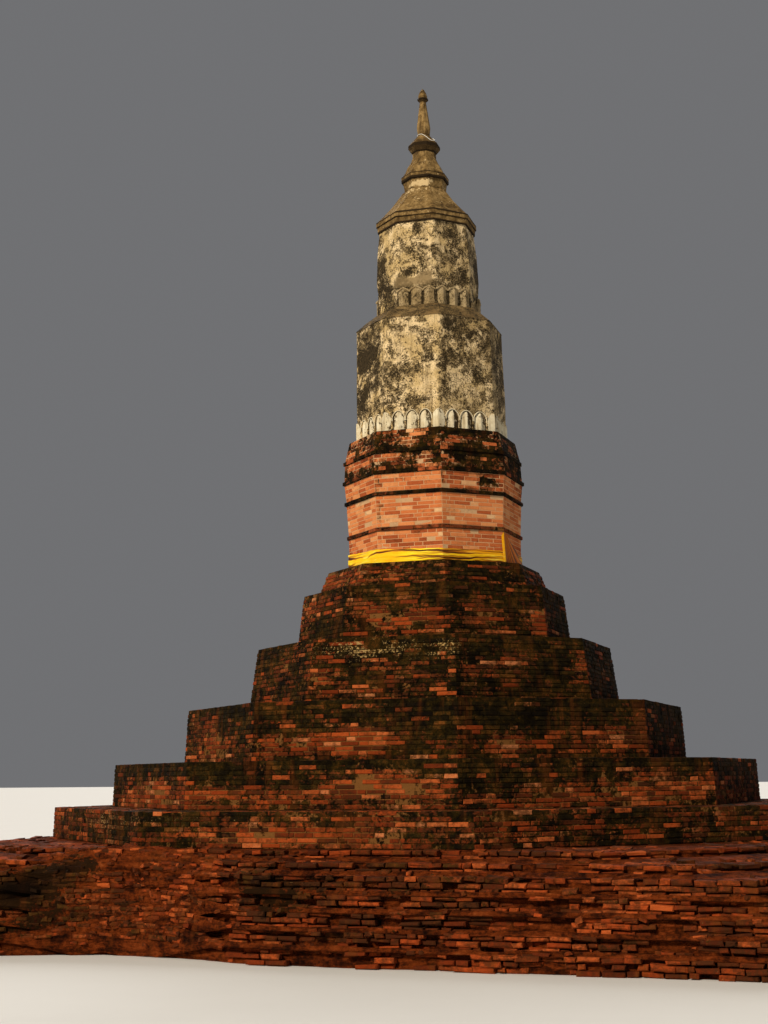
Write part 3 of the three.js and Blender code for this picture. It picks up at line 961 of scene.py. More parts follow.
class Bank:
    """Earth and crumbled brick lying on a ledge against the layer above, deepest where it slumped."""

    def __init__(self, lower, upper, bottom, top, seed):
        self.lower, self.upper = Outline(lower), Outline(upper)
        self.bottom, self.top, self.seed = bottom, top, seed

    def rise(self, points, t):
        """Height of the bank over its ledge, t being 0 at the layer above and 1 at the rim."""
        slack = slumped(points)
        deep = 0.02 + 0.05 * cloudy(points, 0.5, self.seed)
        full = (self.top - self.bottom) * (0.80 + 0.5 * cloudy(points, 0.4, self.seed + 1))
        deep = deep + (full - deep) * slack
        lump = (0.02 + 0.07 * slack) * (cloudy(points, 0.16, self.seed + 2) - 0.5)
        shape = np.clip(1 - t / (0.45 + 0.6 * slack), 0, 1)
        crumbled = 0.16 * slack * cloudy(points, 0.45, self.seed + 3) * smooth_step(t, 0.5, 1.0)
        return deep * shape**1.1 + lump * (0.4 + 0.6 * shape) - 0.012 * (1 - slack) * t - crumbled

    def on_ledge(self, around, t):
        """Points on the bank in the directions of the points given."""
        inner, outer = self.upper.reach(around), self.lower.reach(around) - 0.01
        outer = inner + (outer - inner) * (0.55 + 0.45 * slumped(around))
        flat = unit(around[:, :2]) * (inner + (outer - inner) * t)[:, None]
        points = np.column_stack([flat, np.full(len(flat), self.bottom)])
        points[:, 2] += self.rise(points, t)
        return points

    def mesh(self):
        ring = dense(self.upper.ring, 6)
        rings = [self.on_ledge(ring, t) for t in np.linspace(1, -0.25, 10)]
        skirt = rings[0] - np.array([0, 0, 1]) * (0.01 + 0.14 * slumped(ring))[:, None]
        rings.insert(0, skirt * [0.997, 0.997, 1])
        return np.concatenate(rings), quads_between(len(rings), len(ring))


def scatter_rubble(bricks, bank):
    """Broken bricks on a bank of earth, most of them half sunk in the slumped bays."""
    random = bricks.random
    points, ahead = bank.upper.at(random.uniform(0, bank.upper.length, RUBBLE_PIECES))
    kept = random.random(RUBBLE_PIECES) < 0.10 + 0.90 * slumped(points)
    centres = bank.on_ledge(points[kept], random.uniform(0.05, 0.98, kept.sum()))
    for centre, along in zip(centres, ahead[kept]):
        out = right_of(along)
        tone = worn_tone(bricks)
        if random.random() < 0.6:
            centre[2] += random.uniform(-0.01, 0.02)
            turn = along + out * random.normal(0, 0.15) + [0, 0, random.normal(0, 0.08)]
            face = out + [0, 0, random.normal(0.05, 0.15)]
            length, tall = random.uniform(0.06, 0.24), random.uniform(0.035, 0.062)
            bricks.add(centre + out * 0.01, turn, face, length, tall, BRICK_DEPTH, 1.0, tone)
            continue
        thick = random.uniform(0.03, 0.06)
        centre[2] += thick * random.uniform(0.0, 0.5)
        spin = random.uniform(0, math.pi)
        turn = (math.cos(spin), math.sin(spin), random.normal(0, 0.2))
        lie = (random.normal(0, 0.2), random.normal(0, 0.2), 1)
        length, width = random.uniform(0.05, 0.17), random.uniform(0.05, 0.12)
        bricks.add(centre, turn, lie, length, width, thick, 1.0, tone)


def lay_worn_courses(bricks, bank):
    """Courses still in place up the slumped bays: broken rows that show along the bank's slope."""
    random = bricks.random
    shares = np.linspace(1.0, 0.02, 40)
    count = int(bank.upper.length / (0.6 * BRICK_LENGTH))
    for course in range(round((bank.top - bank.bottom) / COURSE)):
        level = bank.bottom + (course + 0.5) * COURSE
        lengths = BRICK_LENGTH * random.uniform(0.35, 1.0, count)
        marks = np.cumsum(lengths + 0.5 * JOINT)
        points, ahead = bank.upper.at(marks - lengths / 2)
        kept = (marks < bank.upper.length) & (slumped(points) > 0.12)
        points, ahead, lengths = points[kept], ahead[kept], lengths[kept]
        slope = bank.on_ledge(np.repeat(points, len(shares), axis=0), np.tile(shares, len(points)))
        slope = slope.reshape(len(points), len(shares), 3)
        reached = slope[..., 2] >= level
        spots = slope[np.arange(len(points)), reached.argmax(1)]
        gaps = lattice_noise(spots * [1, 1, 1.8], 0.45, 43)
        looks = zip(spots, ahead, lengths, reached.any(1), gaps, tone_shifts(spots))
        for spot, along, length, shown, gap, shift in looks:
            if not shown or random.random() < 0.12 + 0.9 * smooth_step(gap, 0.5, 0.8):
                continue
            out = right_of(along)
            centre = spot + out * random.normal(0.012, 0.014)
            centre[2] = level + random.normal(0, 0.006)
            turn = along + out * random.normal(0, 0.05) + [0, 0, random.normal(0, 0.03)]
            tone = worn_tone(bricks, shift)
            tall = COURSE * random.uniform(0.66, 0.9)
            face = out + [0, 0, random.normal(0, 0.05)]
            bricks.add(centre, turn, face, length, tall, BRICK_DEPTH, 1.0, tone)


def rough_core(ring, bottom, top, seed):
    """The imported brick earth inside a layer, its face and rim worn uneven."""
    ring = dense(ring, 4)
    middle = ring.mean(0)[:2]
    flat = ring[:, :2] - middle
    reach = np.hypot(flat[:, 0], flat[:, 1])
    depth = CORE_INSET * (1 - 0.6 * slumped(ring))
    rings = []
    for share, extra in CORE_PROFILE:
        height = np.full(len(ring), bottom + share * (top - bottom))
        noise = 0.12 * cloudy(np.column_stack([ring[:, :2], height * 3]), 0.3, seed)
        scale = 1 - (depth + extra + noise) / reach
        rings.append(np.column_stack([middle + flat * scale[:, None], height]))
    return *prism(rings), np.repeat(np.linspace(0, 1, len(rings)), len(ring))


def with_bank(core, bank):
    points, faces, rise = core
    bank_points, bank_faces = bank.mesh()
    rise = np.concatenate([rise, np.zeros(len(bank_points))])
    return *joined(points, faces, bank_points, bank_faces), rise


def keep_inside(piece):
    """Keeps worn bricks above the ground and inside the base's own width."""
    places = vertex_places(piece.data)
    places[:, :2] = np.clip(places[:, :2], -BASE_LIMIT, BASE_LIMIT)
    places[:, 2] = np.maximum(places[:, 2], BASE_LOWEST)
    piece.data.vertices.foreach_set("co", places.reshape(-1))
    piece.data.update()


def build_base(paints):
    layers = []
    for index in range(BASE_LAYERS):
        node = f"old_base_courses_{index + 1}"
        bottom, *_, top = levels_of(node)
        layers.append((node, bottom, top, ring_at(node, top)))
    uppers = [Outline(ring) for _, _, _, ring in layers[1:]]
    uppers.append(Outline(rings_of("terrace_1")[0]))
    for index, (node, bottom, top, ring) in enumerate(layers):
        bricks = Bricks(60 + index, wear=0.012, chamfer=0.015, tone=0.46, spread=0.2, dark=0.15)
        outline, above = Outline(ring), uppers[index]
        courses = max(1, round((top - bottom) / COURSE))
        tall = (top - bottom) / courses - 0.005
        gap = max(outline.reach(point) - above.reach(point) for point in ring)
        for course in range(courses):
            last = course == courses - 1
            rows = 1 + (math.ceil(gap / ROW_PITCH) if last else 1)
            rise = (course + 0.5) / courses
            height = bottom + rise * (top - bottom)
            lay_base_course(bricks, outline, above, height, tall, rows, last, rise)
        core = rough_core(ring, bottom, top, index)
        if index:
            bank = Bank(layers[index - 1][3], ring, bottom, top, 170 + index)
            lay_worn_courses(bricks, bank)
            scatter_rubble(bricks, bank)
            core = with_bank(core, bank)
        growth = wall_growth(150 + index, 0.22, 0.34, 0.9, 0.9, 0.06, BASE_SPOTS)
        materials = [paints["rubble"], paints["earth"]]
        keep_inside(brickwork(node, "_rubble", bricks, core, materials, growth))


# Stucco

TOWER_FOOT = 8.290
TOWER_TURN = 3.4
# How far the tower leans, for each metre of height above its foot.
LEAN = np.array([-0.0125, -0.0035, 0])
HALF_FACE_TURN = 180 / SIDES
ODD_CORNER_TURN = 3.3
ODD_CORNER_LEVELS = (8.65, 10.33)
# Each piece's node, paint and slot, and its mesh's step, corner radius, unevenness and chip depth.
STUCCO_PIECES = (
    ("bell_body", "stucco", "stucco", 0.028, 0.018, 0.014, 0.012),
    ("bell_shoulder", "shoulder", "stucco", 0.028, 0.025, 0.012, 0.008),
    ("upper_shaft", "stucco", "stucco", 0.024, 0.018, 0.012, 0.012),
    ("cornice_1_lower", "roof", "roof_stucco", 0.020, 0.010, 0.006, 0.006),
    ("cornice_1_upper", "roof", "roof_stucco", 0.020, 0.010, 0.006, 0.006),
    ("roof_1", "roof", "roof_stucco", 0.024, 0.020, 0.008, 0.0),
    ("second_stage", "roof", "roof_stucco", 0.016, 0.010, 0.006, 0.006),
    ("cornice_2", "roof", "roof_stucco", 0.014, 0.008, 0.004, 0.004),
    ("roof_2", "roof", "roof_stucco", 0.014, 0.014, 0.004, 0.0),
    ("neck", "roof", "roof_stucco", 0.012, 0.010, 0.003, 0.0),
    ("cornice_3", "roof", "roof_stucco", 0.010, 0.012, 0.003, 0.0),
    ("roof_3", "roof", "roof_stucco", 0.010, 0.014, 0.003, 0.0),
    ("spire", "finial", "roof_stucco", 0.008, 0.012, 0.001, 0.0),
    ("spire_collar", "finial", "roof_stucco", 0.006, 0.010, 0.0005, 0.0),
    ("lotus_bud", "finial", "roof_stucco", 0.006, 0.010, 0.0005, 0.0),
)
# Where lichen on the stucco is thickest or thinnest.
LICHEN_SPOTS = (
    (-40, 9.80, 0.22, 0.16, 0.60), (-55, 9.69, 0.20, 0.22, 0.55), (-31, 9.46, 0.10, 0.25, 0.35),
    (-55, 9.02, 0.20, 0.20, 0.60), (-47, 9.22, 0.25, 0.12, 0.35), (-12, 9.32, 0.12, 0.08, 0.25),
    (22, 9.35, 0.10, 0.25, 0.25), (18, 9.57, 0.15, 0.12, 0.25), (12, 8.83, 0.14, 0.06, 0.25),
    (-5, 11.75, 0.7, 0.5, -0.14), (34, 10.16, 0.14, 0.10, 0.28), (52, 10.04, 0.22, 0.14, 0.25),
    (40, 9.6, 0.3, 0.25, 0.14), (58, 9.26, 0.12, 0.14, 0.45), (14, 9.05, 0.16, 0.22, -0.5),
    (50, 8.95, 0.2, 0.2, -0.3), (-8, 9.9, 0.25, 0.2, -0.15), (45, 11.97, 0.18, 0.09, 0.30),
    (0, 12.07, 0.10, 0.08, 0.30), (-8, 11.25, 0.07, 0.05, 0.55), (-57, 11.45, 0.25, 0.35, 0.35),
    (-48, 11.0, 0.3, 0.2, 0.35), (52, 11.18, 0.22, 0.22, 0.10), (5, 11.1, 0.3, 0.08, -0.4),
    (0, 11.7, 0.5, 0.3, 0.12), (90, 9.5, 0.6, 0.8, 0.15), (170, 9.4, 0.8, 0.7, 0.2),
    (-120, 9.6, 0.5, 0.6, 0.2), (120, 11.5, 0.5, 0.4, 0.25), (-150, 11.5, 0.5, 0.4, 0.2),
    (19.5, 8.95, 0.07, 0.28, -0.7), (21, 10.15, 0.07, 0.2, -0.6), (20, 9.5, 0.06, 0.4, -0.2),
    (28, 9.4, 0.05, 0.5, 0.30), (30, 10.2, 0.06, 0.16, 0.28),
)
# Levels under a lip darkened by painted shade and settled dirt, as (height, half height, amount).
SHADE_AND_DIRT_LINES = (
    (12.400, 0.016, 1.9), (12.312, 0.010, 0.9), (12.205, 0.018, 1.5), (13.205, 0.022, 1.5),
    (13.0, 0.012, 0.7), (13.290, 0.012, 1.3), (13.768, 0.012, 1.2), (13.885, 0.034, 1.5),
    (14.116, 0.010, 0.8), (14.83, 0.020, 1.6),
)
# Where the roofs' plaster has flaked to pale cream.
FLAKES = (
    (-14, 13.08, 0.12, 0.06, -1.0), (12, 13.09, 0.10, 0.07, -1.1), (-40, 13.07, 0.08, 0.05, -0.6),
    (0, 12.93, 0.5, 0.06, -0.5), (-20, 12.7, 0.25, 0.12, -0.3), (8, 13.55, 0.05, 0.08, -0.4),
    (-30, 12.2, 0.4, 0.03, -0.3), (12, 12.33, 0.3, 0.03, -0.4), (30, 13.7, 0.1, 0.04, -0.4),
)
# A smear of newer plaster over the upper petals: the azimuth and height of its lower left and
# upper right corners.
SMEAR = ((-26, 11.04), (21, 11.24))
SMEAR_DEPTH = 0.014
# How far a rounded corner is drawn in, as a share of its radius.
CORNER_PULL = 0.25


def softened(ring, a_side, radius):
    """An octagon's outline with points along its faces and its corners rounded."""
    outline = []
    for k in range(SIDES):
        before, a, b, after = (ring[(k + step) % SIDES] for step in (-1, 0, 1, 2))
        length = np.linalg.norm(b - a)
        for i in range(a_side):
            s = (i + 0.5) / a_side * length
            point = a + (b - a) * (s / length)
            for corner, other, distance in ((a, before, s), (b, after, length - s)):
                if distance < radius:
                    pull = (1 - distance / radius) ** 2 * CORNER_PULL
                    point = point + unit(other - corner) * radius * pull
            outline.append(point)
    return np.array(outline)


def stucco_shell(rings, step, radius, wobble, chips, seed):
    """A dense skin through octagons: rounded edges, uneven trowelling and chips."""
    sides = [np.linalg.norm(ring[1] - ring[0]) for ring in rings]
    a_side = max(6, round(max(sides) / step))
    profile = [softened(ring, a_side, min(radius, 0.3 * side)) for ring, side in zip(rings, sides)]
    layers = []
    for low, high in zip(profile, profile[1:]):
        steps = max(1, round(np.linalg.norm(high[0] - low[0]) / step))
        layers += [low + (high - low) * (i / steps) for i in range(steps)]
    layers = np.array([*layers, profile[-1]])
    flat = layers.reshape(-1, 3)
    outward = unit((layers - layers.mean(1, keepdims=True)) * [1, 1, 0]).reshape(-1, 3)
    push = wobble * (cloudy(flat, 0.45, seed) - 1)
    push = push - chips * smooth_step(cloudy(flat, 0.16, seed + 3), 0.66, 0.76)
    return prism(list((flat + outward * push[:, None]).reshape(layers.shape)))


def direction(degrees):
    """The level direction at an azimuth."""
    turn = np.radians(degrees)
    return np.stack([np.sin(turn), -np.cos(turn)], axis=-1)


def out_of_true(points):
    """One corner of the bell stands nearer the front than it should, most of all at its foot."""
    flat = points[:, :2] - LEAN[:2] * (points[:, 2:3] - TOWER_FOOT)
    low, high = ODD_CORNER_LEVELS
    share = 1 - np.clip((points[:, 2] - low) / (high - low), 0, 1)
    before, corner, after = (direction(TOWER_TURN + k * HALF_FACE_TURN) for k in (-1, 1, 3))
    from_before = before[0] * flat[:, 1] - before[1] * flat[:, 0]
    to_after = flat[:, 0] * after[1] - flat[:, 1] * after[0]
    weight = np.clip(np.minimum(from_before, to_after) / math.sin(2 * HALF_SIDE), 0, None)
    moved = direction(TOWER_TURN + HALF_FACE_TURN - ODD_CORNER_TURN * share) - corner
    return np.column_stack([points[:, :2] + weight[:, None] * moved, points[:, 2]])


def lichen(points):
    return spotted(points, LICHEN_SPOTS) + 0.5 * (cloudy(points, 0.8, 201) - 0.5)


def roof_dirt_and_shade(points):
    total = 0.7 * (cloudy(points, 0.5, 211) - 0.5) + spotted(points, FLAKES)
    # The lines under the lips are painted shade as well as dirt.
    for height, half_height, amount in SHADE_AND_DIRT_LINES:
        total = total + amount * np.exp(-(((points[:, 2] - height) / half_height) ** 2))
    return total


def finial_dirt_and_shade(points):
    return roof_dirt_and_shade(points) + 0.22


def smeared(points):
    """Where the smear lies, from 0 to 1, its top edge rising to the right in two humps."""
    (left, foot), (right, head) = SMEAR
    azimuth = np.degrees(azimuth_of(points + [0.03, 0, 0]))
    t = np.clip((azimuth - left) / (right - left), 0, 1)
    ragged = 0.05 * (cloudy(points, 0.12, 231) - 0.5)
    top = foot + (head - foot) * (0.35 + 0.65 * t**0.8) + 0.03 * np.sin(9 * t) + ragged
    inside = smooth_step(azimuth, left, left + 8) * (1 - smooth_step(azimuth, right - 1, right + 1))
    inside = inside * (1 - smooth_step(points[:, 2], top - 0.03, top))
    return inside * smooth_step(points[:, 2], foot - 0.1, foot)


def build_stucco(paints):
    for index, (node, paint, slot, *shape) in enumerate(STUCCO_PIECES):
        points, faces = stucco_shell(rings_of(node), *shape, 100 + index)
        points = out_of_true(points)
        smear = smeared(points)
        outward = unit((points - points.mean(0)) * [1, 1, 0])
        points = points + outward * (SMEAR_DEPTH * smear)[:, None]
        growth = {"roof": roof_dirt_and_shade, "finial": finial_dirt_and_shade}.get(paint, lichen)(points)
        made = mesh_object(node + "_plaster", points, faces, [paints[paint]], growth=growth, smear=smear)
        soften_shading(made, 40)
        stand_for(made, node)


# Lotus petals

# Faces across and up a petal, steps up one leg and up half the crown of an arch, and the sides of
# its rim.
PETAL_ACROSS = 14
PETAL_ROWS = 20
LEG_STEPS = 3
CROWN_STEPS = 12
RIM_SIDES = 6
# Reach of the backing and of the niches' wall to a corner of the ring.
LOWER_BACKING = 1.325
LOWER_WALL = 1.357
UPPER_BACKING = 0.925
LOWER_WIDTH = 0.222
LOWER_DEPTH = 0.052
LOWER_POINTED = 0.22
UPPER_WIDTH = 0.234
UPPER_DEPTH = 0.062
UPPER_POINTED = 0.80
UPPER_RISE = 0.62
# Petals to each face, the last of a lower face's being folded round its corner.
LOWER_A_FACE = 4
UPPER_A_FACE = 3
# Upper petals that are gone, and broken ones with the share of their height that is left.
UPPER_MISSING = (21, 22, 23, 12)
UPPER_BROKEN = {6: 0.5, 7: 0.6, 11: 0.6, 17: 0.5}


def petal_half_width(cap, radius, pointed):
    """Half the width of an arch, from its springing (0) to its crown (1): round or gabled."""
    return radius * ((1 - pointed) * math.sqrt(max(0.0, 1 - cap * cap)) + pointed * (1 - cap))


def petal_patch(width, height, depth, pointed, rise=1.0):
    """One ridged petal standing on the origin: its points out along -Y and its quads.

    The rise is the height of its cap as a share of half its width."""
    radius = width / 2
    straight = (height - radius * rise) / height
    crown = straight + (1 - straight) * np.sin(np.linspace(0, math.pi / 2, PETAL_ROWS - 3))
    points = []
    for level in np.concatenate([np.linspace(0, straight, 5)[:-1], crown]):
        half = petal_half_width(max(0.0, (level - straight) / (1 - straight)), radius, pointed) + 1e-4
        for i in range(PETAL_ACROSS + 1):
            s = 2 * i / PETAL_ACROSS - 1
            swell = 0.14 * math.sqrt(max(0.0, 1 - s * s)) + 0.86 * (1 - abs(s))
            points.append((s * half, -depth * swell * (half / radius) ** 0.5, level * height))
    return np.array(points), quads_between(PETAL_ROWS + 1, PETAL_ACROSS + 1, closed=False)


def petal_shade_and_dirt(edges, right=0.0):
    """Darkening along both edges of a petal patch, painted shade between petals with some dirt, and over
    its right half, painted shade, for each of its points.
    """
    side = np.linspace(-1, 1, PETAL_ACROSS + 1)
    dirt = edges * smooth_step(np.abs(side), 0.72, 1.0) + right * smooth_step(side, -0.05, 0.4)
    return np.tile(dirt, PETAL_ROWS + 1)


def corner_petal(height, half, depth):
    """A ridged petal folded round a corner of the octagon, its ridge on the corner."""
    points, quads = petal_patch(2 * half, height, depth, 0.2)
    points[:, 1] += np.abs(points[:, 0]) * math.tan(HALF_SIDE)
    points[:, 0] *= TO_FACE
    return points, quads


def arch_path(radius, spring, foot, pointed, rise=1.0):
    """Points (x, z) up one leg of an arch, over its crown and down the other leg."""
    caps = np.sin(np.linspace(0, math.pi / 2, CROWN_STEPS))
    right = [(petal_half_width(cap, radius, pointed), spring + radius * rise * cap) for cap in caps]
    legs = [(radius, z) for z in np.linspace(foot, spring, LEG_STEPS + 1)[:-1]]
    half = np.array(legs + right)
    return np.vstack([half * [-1, 1], half[-2::-1]])


def arch_rim(path, thickness):
    """A thin raised moulding along an arch."""
    ahead = unit(np.gradient(path, axis=0))
    away = np.column_stack([-ahead[:, 1], ahead[:, 0]])
    points = []
    for (x, z), (away_x, away_z) in zip(path, away):
        for j in range(RIM_SIDES):
            swing = 2 * math.pi * j / RIM_SIDES
            side = math.cos(swing) * thickness
            points.append((x + away_x * side, math.sin(swing) * thickness * 1.2, z + away_z * side))
    return np.array(points), quads_between(len(path), RIM_SIDES)


def arcade(half_width, centres, radius, spring, top, depth):
    """A wall face with an arched niche at each centre: the face and the niches' reveals."""
    points, quads = [], []
    niches = [centre + side * radius for centre in centres for side in (-1, 1)]
    edges = [-half_width, *niches, half_width]
    for left, right in zip(edges[::2], edges[1::2]):
        a = len(points)
        for x in (left, right):
            points += [(x, 0, 0), (x, 0, spring), (x, 0, top)]
        quads += [[a, a + 3, a + 4, a + 1], [a + 1, a + 4, a + 5, a + 2]]
    path = arch_path(radius, spring, 0.0, LOWER_POINTED)
    crown = path[LEG_STEPS:-LEG_STEPS]
    for centre in centres:
        face = len(points) + quads_between(len(crown), 2, closed=False)
        for x, z in crown:
            points += [(centre + x, 0, z), (centre + x, 0, top)]
        reveal = len(points) + quads_between(len(path), 2, closed=False)
        for x, z in path:
            points += [(centre + x, 0, z), (centre + x, depth, z)]
        quads += [*face[:, [0, 3, 2, 1]], *reveal]
    return np.array(points), quads


def turned_about(points, angle, middle):
    """Points turned about the vertical, then moved to the middle."""
    c, s = math.cos(angle), math.sin(angle)
    x, y = points[:, 0] * c - points[:, 1] * s, points[:, 0] * s + points[:, 1] * c
    return np.column_stack([x, y, points[:, 2]]) + middle


class LeaningRing:
    """Collects pieces set round an octagonal ring of the leaning tower, then makes one mesh."""

    def __init__(self, node):
        low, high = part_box(node)
        self.height = high[2] - low[2]
        self.middle = np.array([(low[0] + high[0]) / 2, (low[1] + high[1]) / 2, low[2]])
        self.middle[:2] -= LEAN[:2] * self.height / 2
        self.node = node
        self.points, self.faces, self.indices, self.growth = [], [], [], []

    def add(self, piece, offset, face, material, growth):
        """Adds a piece, first moved by the offset, to one face of the ring."""
        points, faces = piece
        turn = math.radians(TOWER_TURN) + face * 2 * HALF_SIDE
        placed = turned_about(points + offset, turn, self.middle)
        self.faces += [[i + len(self.points) for i in each] for each in faces]
        self.points += list(placed + (placed[:, 2:3] - self.middle[2]) * LEAN)
        self.indices += [material] * len(faces)
        self.growth += list(0.6 * lichen(placed) + growth)

    def add_backing(self, radius, material, growth):
        corner = np.array([[0, -radius, 0]])
        ring = np.vstack([turned_about(corner, (2 * k + 1) * HALF_SIDE, 0) for k in range(SIDES)])
        rings = [softened(ring + [0, 0, self.height * t], 30, 0.02) for t in np.linspace(0, 1, 6)]
        self.add(prism(rings), 0, 0, material, growth)

    def finish(self, materials, slot):
        points = out_of_true(np.array(self.points))
        name = self.node + "_plaster"
        made = mesh_object(name, points, self.faces, materials, self.indices, growth=self.growth)
        soften_shading(made, 38)
        stand_for(made, self.node)


def build_lower_petals(paints):
    """Ridged petals in round-headed niches, with one more folded round each corner."""
    ring = LeaningRing("lower_lotus_petals")
    random = np.random.default_rng(SCENE_SEED + 300)
    ring.add_backing(LOWER_BACKING, 1, 0.3)
    wall_face, backing_face = LOWER_WALL * TO_FACE, LOWER_BACKING * TO_FACE
    half_face = LOWER_WALL * math.sin(HALF_SIDE)
    pitch = 2 * half_face / LOWER_A_FACE
    radius = LOWER_WIDTH / 2 + 0.004
    spring = ring.height - radius - 0.010
    depth = (LOWER_WALL - LOWER_BACKING) * TO_FACE + 0.004
    for face in range(SIDES):
        wall = arcade(half_face, (-pitch, 0, pitch), radius, spring, ring.height, depth)
        ring.add(wall, (0, -wall_face, 0), face, 1, 0.0)
        for place in (-1, 0, 1):
            wide = LOWER_WIDTH * random.uniform(0.96, 1.0)
            tall = spring + radius - random.uniform(0.004, 0.012)
            petal = petal_patch(wide, tall, LOWER_DEPTH, LOWER_POINTED)
            # Painted shade on the right half of each lower petal, more on face 1, which the key light
            # reaches at a low angle, and along its edges.
            dirt = petal_shade_and_dirt(0.5, random.uniform(0.1, 0.7) + (0.35 if face == 1 else 0))
            ring.add(petal, (place * pitch, -backing_face, 0), face, 0, dirt)
            rim = arch_rim(arch_path(radius + 0.007, spring, 0.75 * spring, LOWER_POINTED), 0.009)
            ring.add(rim, (place * pitch, -wall_face, 0), face, 0, -0.5)
        points, quads = corner_petal(ring.height - 0.012, pitch * 0.48, 0.014)
        points = turned_about(points + [0, -LOWER_WALL - 0.002, 0], HALF_SIDE, 0)
        ring.add((points, quads), 0, face, 0, petal_shade_and_dirt(0.4, 0.2) - 0.1)
    ring.finish([paints["limewash"], paints["stucco"]], "limewash")


def build_upper_petals(paints):
    """Taller gabled petals standing free of their backing, some broken and some gone."""
    ring = LeaningRing("upper_lotus_petals")
    random = np.random.default_rng(SCENE_SEED + 301)
    ring.add_backing(UPPER_BACKING, 0, 0.05)
    pitch = 2 * UPPER_BACKING * math.sin(HALF_SIDE) / UPPER_A_FACE
    for i in range(UPPER_A_FACE * SIDES):
        if i in UPPER_MISSING:
            continue
        face, place = divmod(i, UPPER_A_FACE)
        offset = np.array([(place - (UPPER_A_FACE - 1) / 2) * pitch, -UPPER_BACKING * TO_FACE, 0])
        wide = UPPER_WIDTH * random.uniform(0.97, 1.02)
        tall = ring.height * random.uniform(0.95, 0.985) * UPPER_BROKEN.get(i, 1.0)
        rise = UPPER_RISE * random.uniform(0.85, 1.15)
        petal = petal_patch(wide, tall, UPPER_DEPTH, UPPER_POINTED, rise)
        # Painted shade along both edges of each upper petal, darkening the gaps between petals.
        ring.add(petal, offset, face, 1, petal_shade_and_dirt(1.3))
        if i not in UPPER_BROKEN:
            spring, foot = tall - wide / 2 * rise, tall - 0.36 * wide
            path = arch_path(wide / 2 - 0.004, spring, foot, UPPER_POINTED, rise)
            ring.add(arch_rim(path, 0.015), offset - [0, 0.032, 0], face, 1, -0.5)
    ring.finish([paints["stucco"], paints["petal"]], "stucco")


# Cloth and thread

SASH_LOW = 5.968
SASH_HIGH = 6.170
# How far its top edge rises above that, as (azimuth, rise).
SASH_RISES = (
    (-67.5, 0.105), (-22.5, 0.060), (22.5, 0.022), (67.5, 0.030), (112.5, 0.06), (157.5, 0.03),
    (202.5, 0.06), (247.5, 0.08),
)
SASH_DRAWN_UP = 6.525
SASH_WRAP = 0.046
SASH_GAP = 0.005
SASH_BULGE = 0.013
SASH_CREASES = 46
# Faces up the band, and across and up its loose corner.
BAND_ROWS = 44
FLAP_ACROSS = 120
FLAP_ROWS = 40
THREAD_DIAMETER = 0.012
# The thread's knots: azimuth from the tower's own front, height and distance from its axis.
THREAD_ROUTE = (
    (-60, 14.119, 0.121), (-39, 14.122, 0.120), (-22, 14.122, 0.121), (-8, 14.119, 0.121),
    (4, 14.106, 0.131), (15, 14.080, 0.154), (26, 14.045, 0.186), (36, 13.996, 0.222),
    (46, 13.953, 0.255), (57, 13.958, 0.257), (67, 13.982, 0.247), (78, 14.010, 0.213),
    (90, 14.038, 0.184), (105, 14.065, 0.170), (124, 14.092, 0.148), (146, 14.113, 0.1345),
    (168, 14.119, 0.1215), (190, 14.119, 0.1205), (215, 14.119, 0.1205), (240, 14.119, 0.1205),
    (265, 14.119, 0.1205), (292, 14.119, 0.121),
)


def crease_depth(along, up, length, random):
    """Depth, from 0 to 1, of many long slanting creases over a band of cloth."""
    total = np.zeros((len(up), len(along)))
    for _ in range(SASH_CREASES):
        start, reach = random.uniform(0, length), random.uniform(0.35, 1.3)
        level, slant = random.uniform(0.06, 0.94), random.normal(0, 0.16)
        width, depth = random.uniform(0.04, 0.085), random.uniform(0.3, 1.0)
        t = ((along - start + length / 2) % length - length / 2) / reach
        centre = level + slant * t + 0.03 * np.sin(5 * t + start)
        fade = np.clip(1 - t * t, 0, 1) ** 0.8
        total = np.maximum(total, depth * fade * np.exp(-(((up[:, None] - centre) / width) ** 2)))
    return total


def sash_sheet():
    """A band of cloth wound round the drum's foot, gathered into long slanting folds."""
    random = np.random.default_rng(SCENE_SEED + 400)
    outline = softened(rings_of("drum_band_1")[-1], 110, 0.03)
    steps = np.linalg.norm(np.diff(np.vstack([outline, outline[:1]]), axis=0), axis=1)
    along = np.concatenate([[0], np.cumsum(steps)[:-1]])
    length = steps.sum()
    away = unit((outline - outline.mean(0)) * [1, 1, 0])
    taut = np.abs(((along / (length / SIDES) + 0.5) % 1.0) - 0.5) * 2
    up = np.linspace(0, 1, BAND_ROWS + 1)
    azimuth = np.degrees(azimuth_of(outline))
    high = SASH_HIGH + np.interp(azimuth, *np.transpose(SASH_RISES), period=360)
    crease = crease_depth(along, up, length, random)
    drift = 2 * math.pi * along / length
    hem = 0.007 * np.sin(9 * drift) + 0.005 * np.sin(23 * drift + 1) + 0.004 * np.sin(41 * drift)
    points = []
    for v, depth in zip(up, crease):
        soft = 0.5 + 0.5 * np.sin(5 * math.pi * v + 2.0 * np.sin(3 * drift + 1) + np.sin(7 * drift))
        bulge = (0.35 + 0.4 * soft) * (0.5 + 0.5 * taut) * math.sin(math.pi * (0.06 + 0.88 * v)) ** 0.5
        out = SASH_GAP + SASH_BULGE * bulge + 0.010 * (1 - depth)
        z = SASH_LOW + 0.014 + (high - SASH_LOW - 0.026) * v + hem * (1 - 0.6 * v)
        points.append(np.column_stack([(outline + away * out[:, None])[:, :2], z]))
    # The deep attribute: painted shade over the cloth on the right faces, from about 21 to 130 degrees,
    # stronger near the top.
    deep = smooth_step(azimuth, 21, 26) * (1 - smooth_step(azimuth, 100, 130))
    deep = deep * (0.32 + 0.4 * smooth_step(up, 0.5, 0.9)[:, None])
    faces = quads_between(BAND_ROWS + 1, len(outline))
    return np.concatenate(points), faces, crease.reshape(-1), deep.reshape(-1)


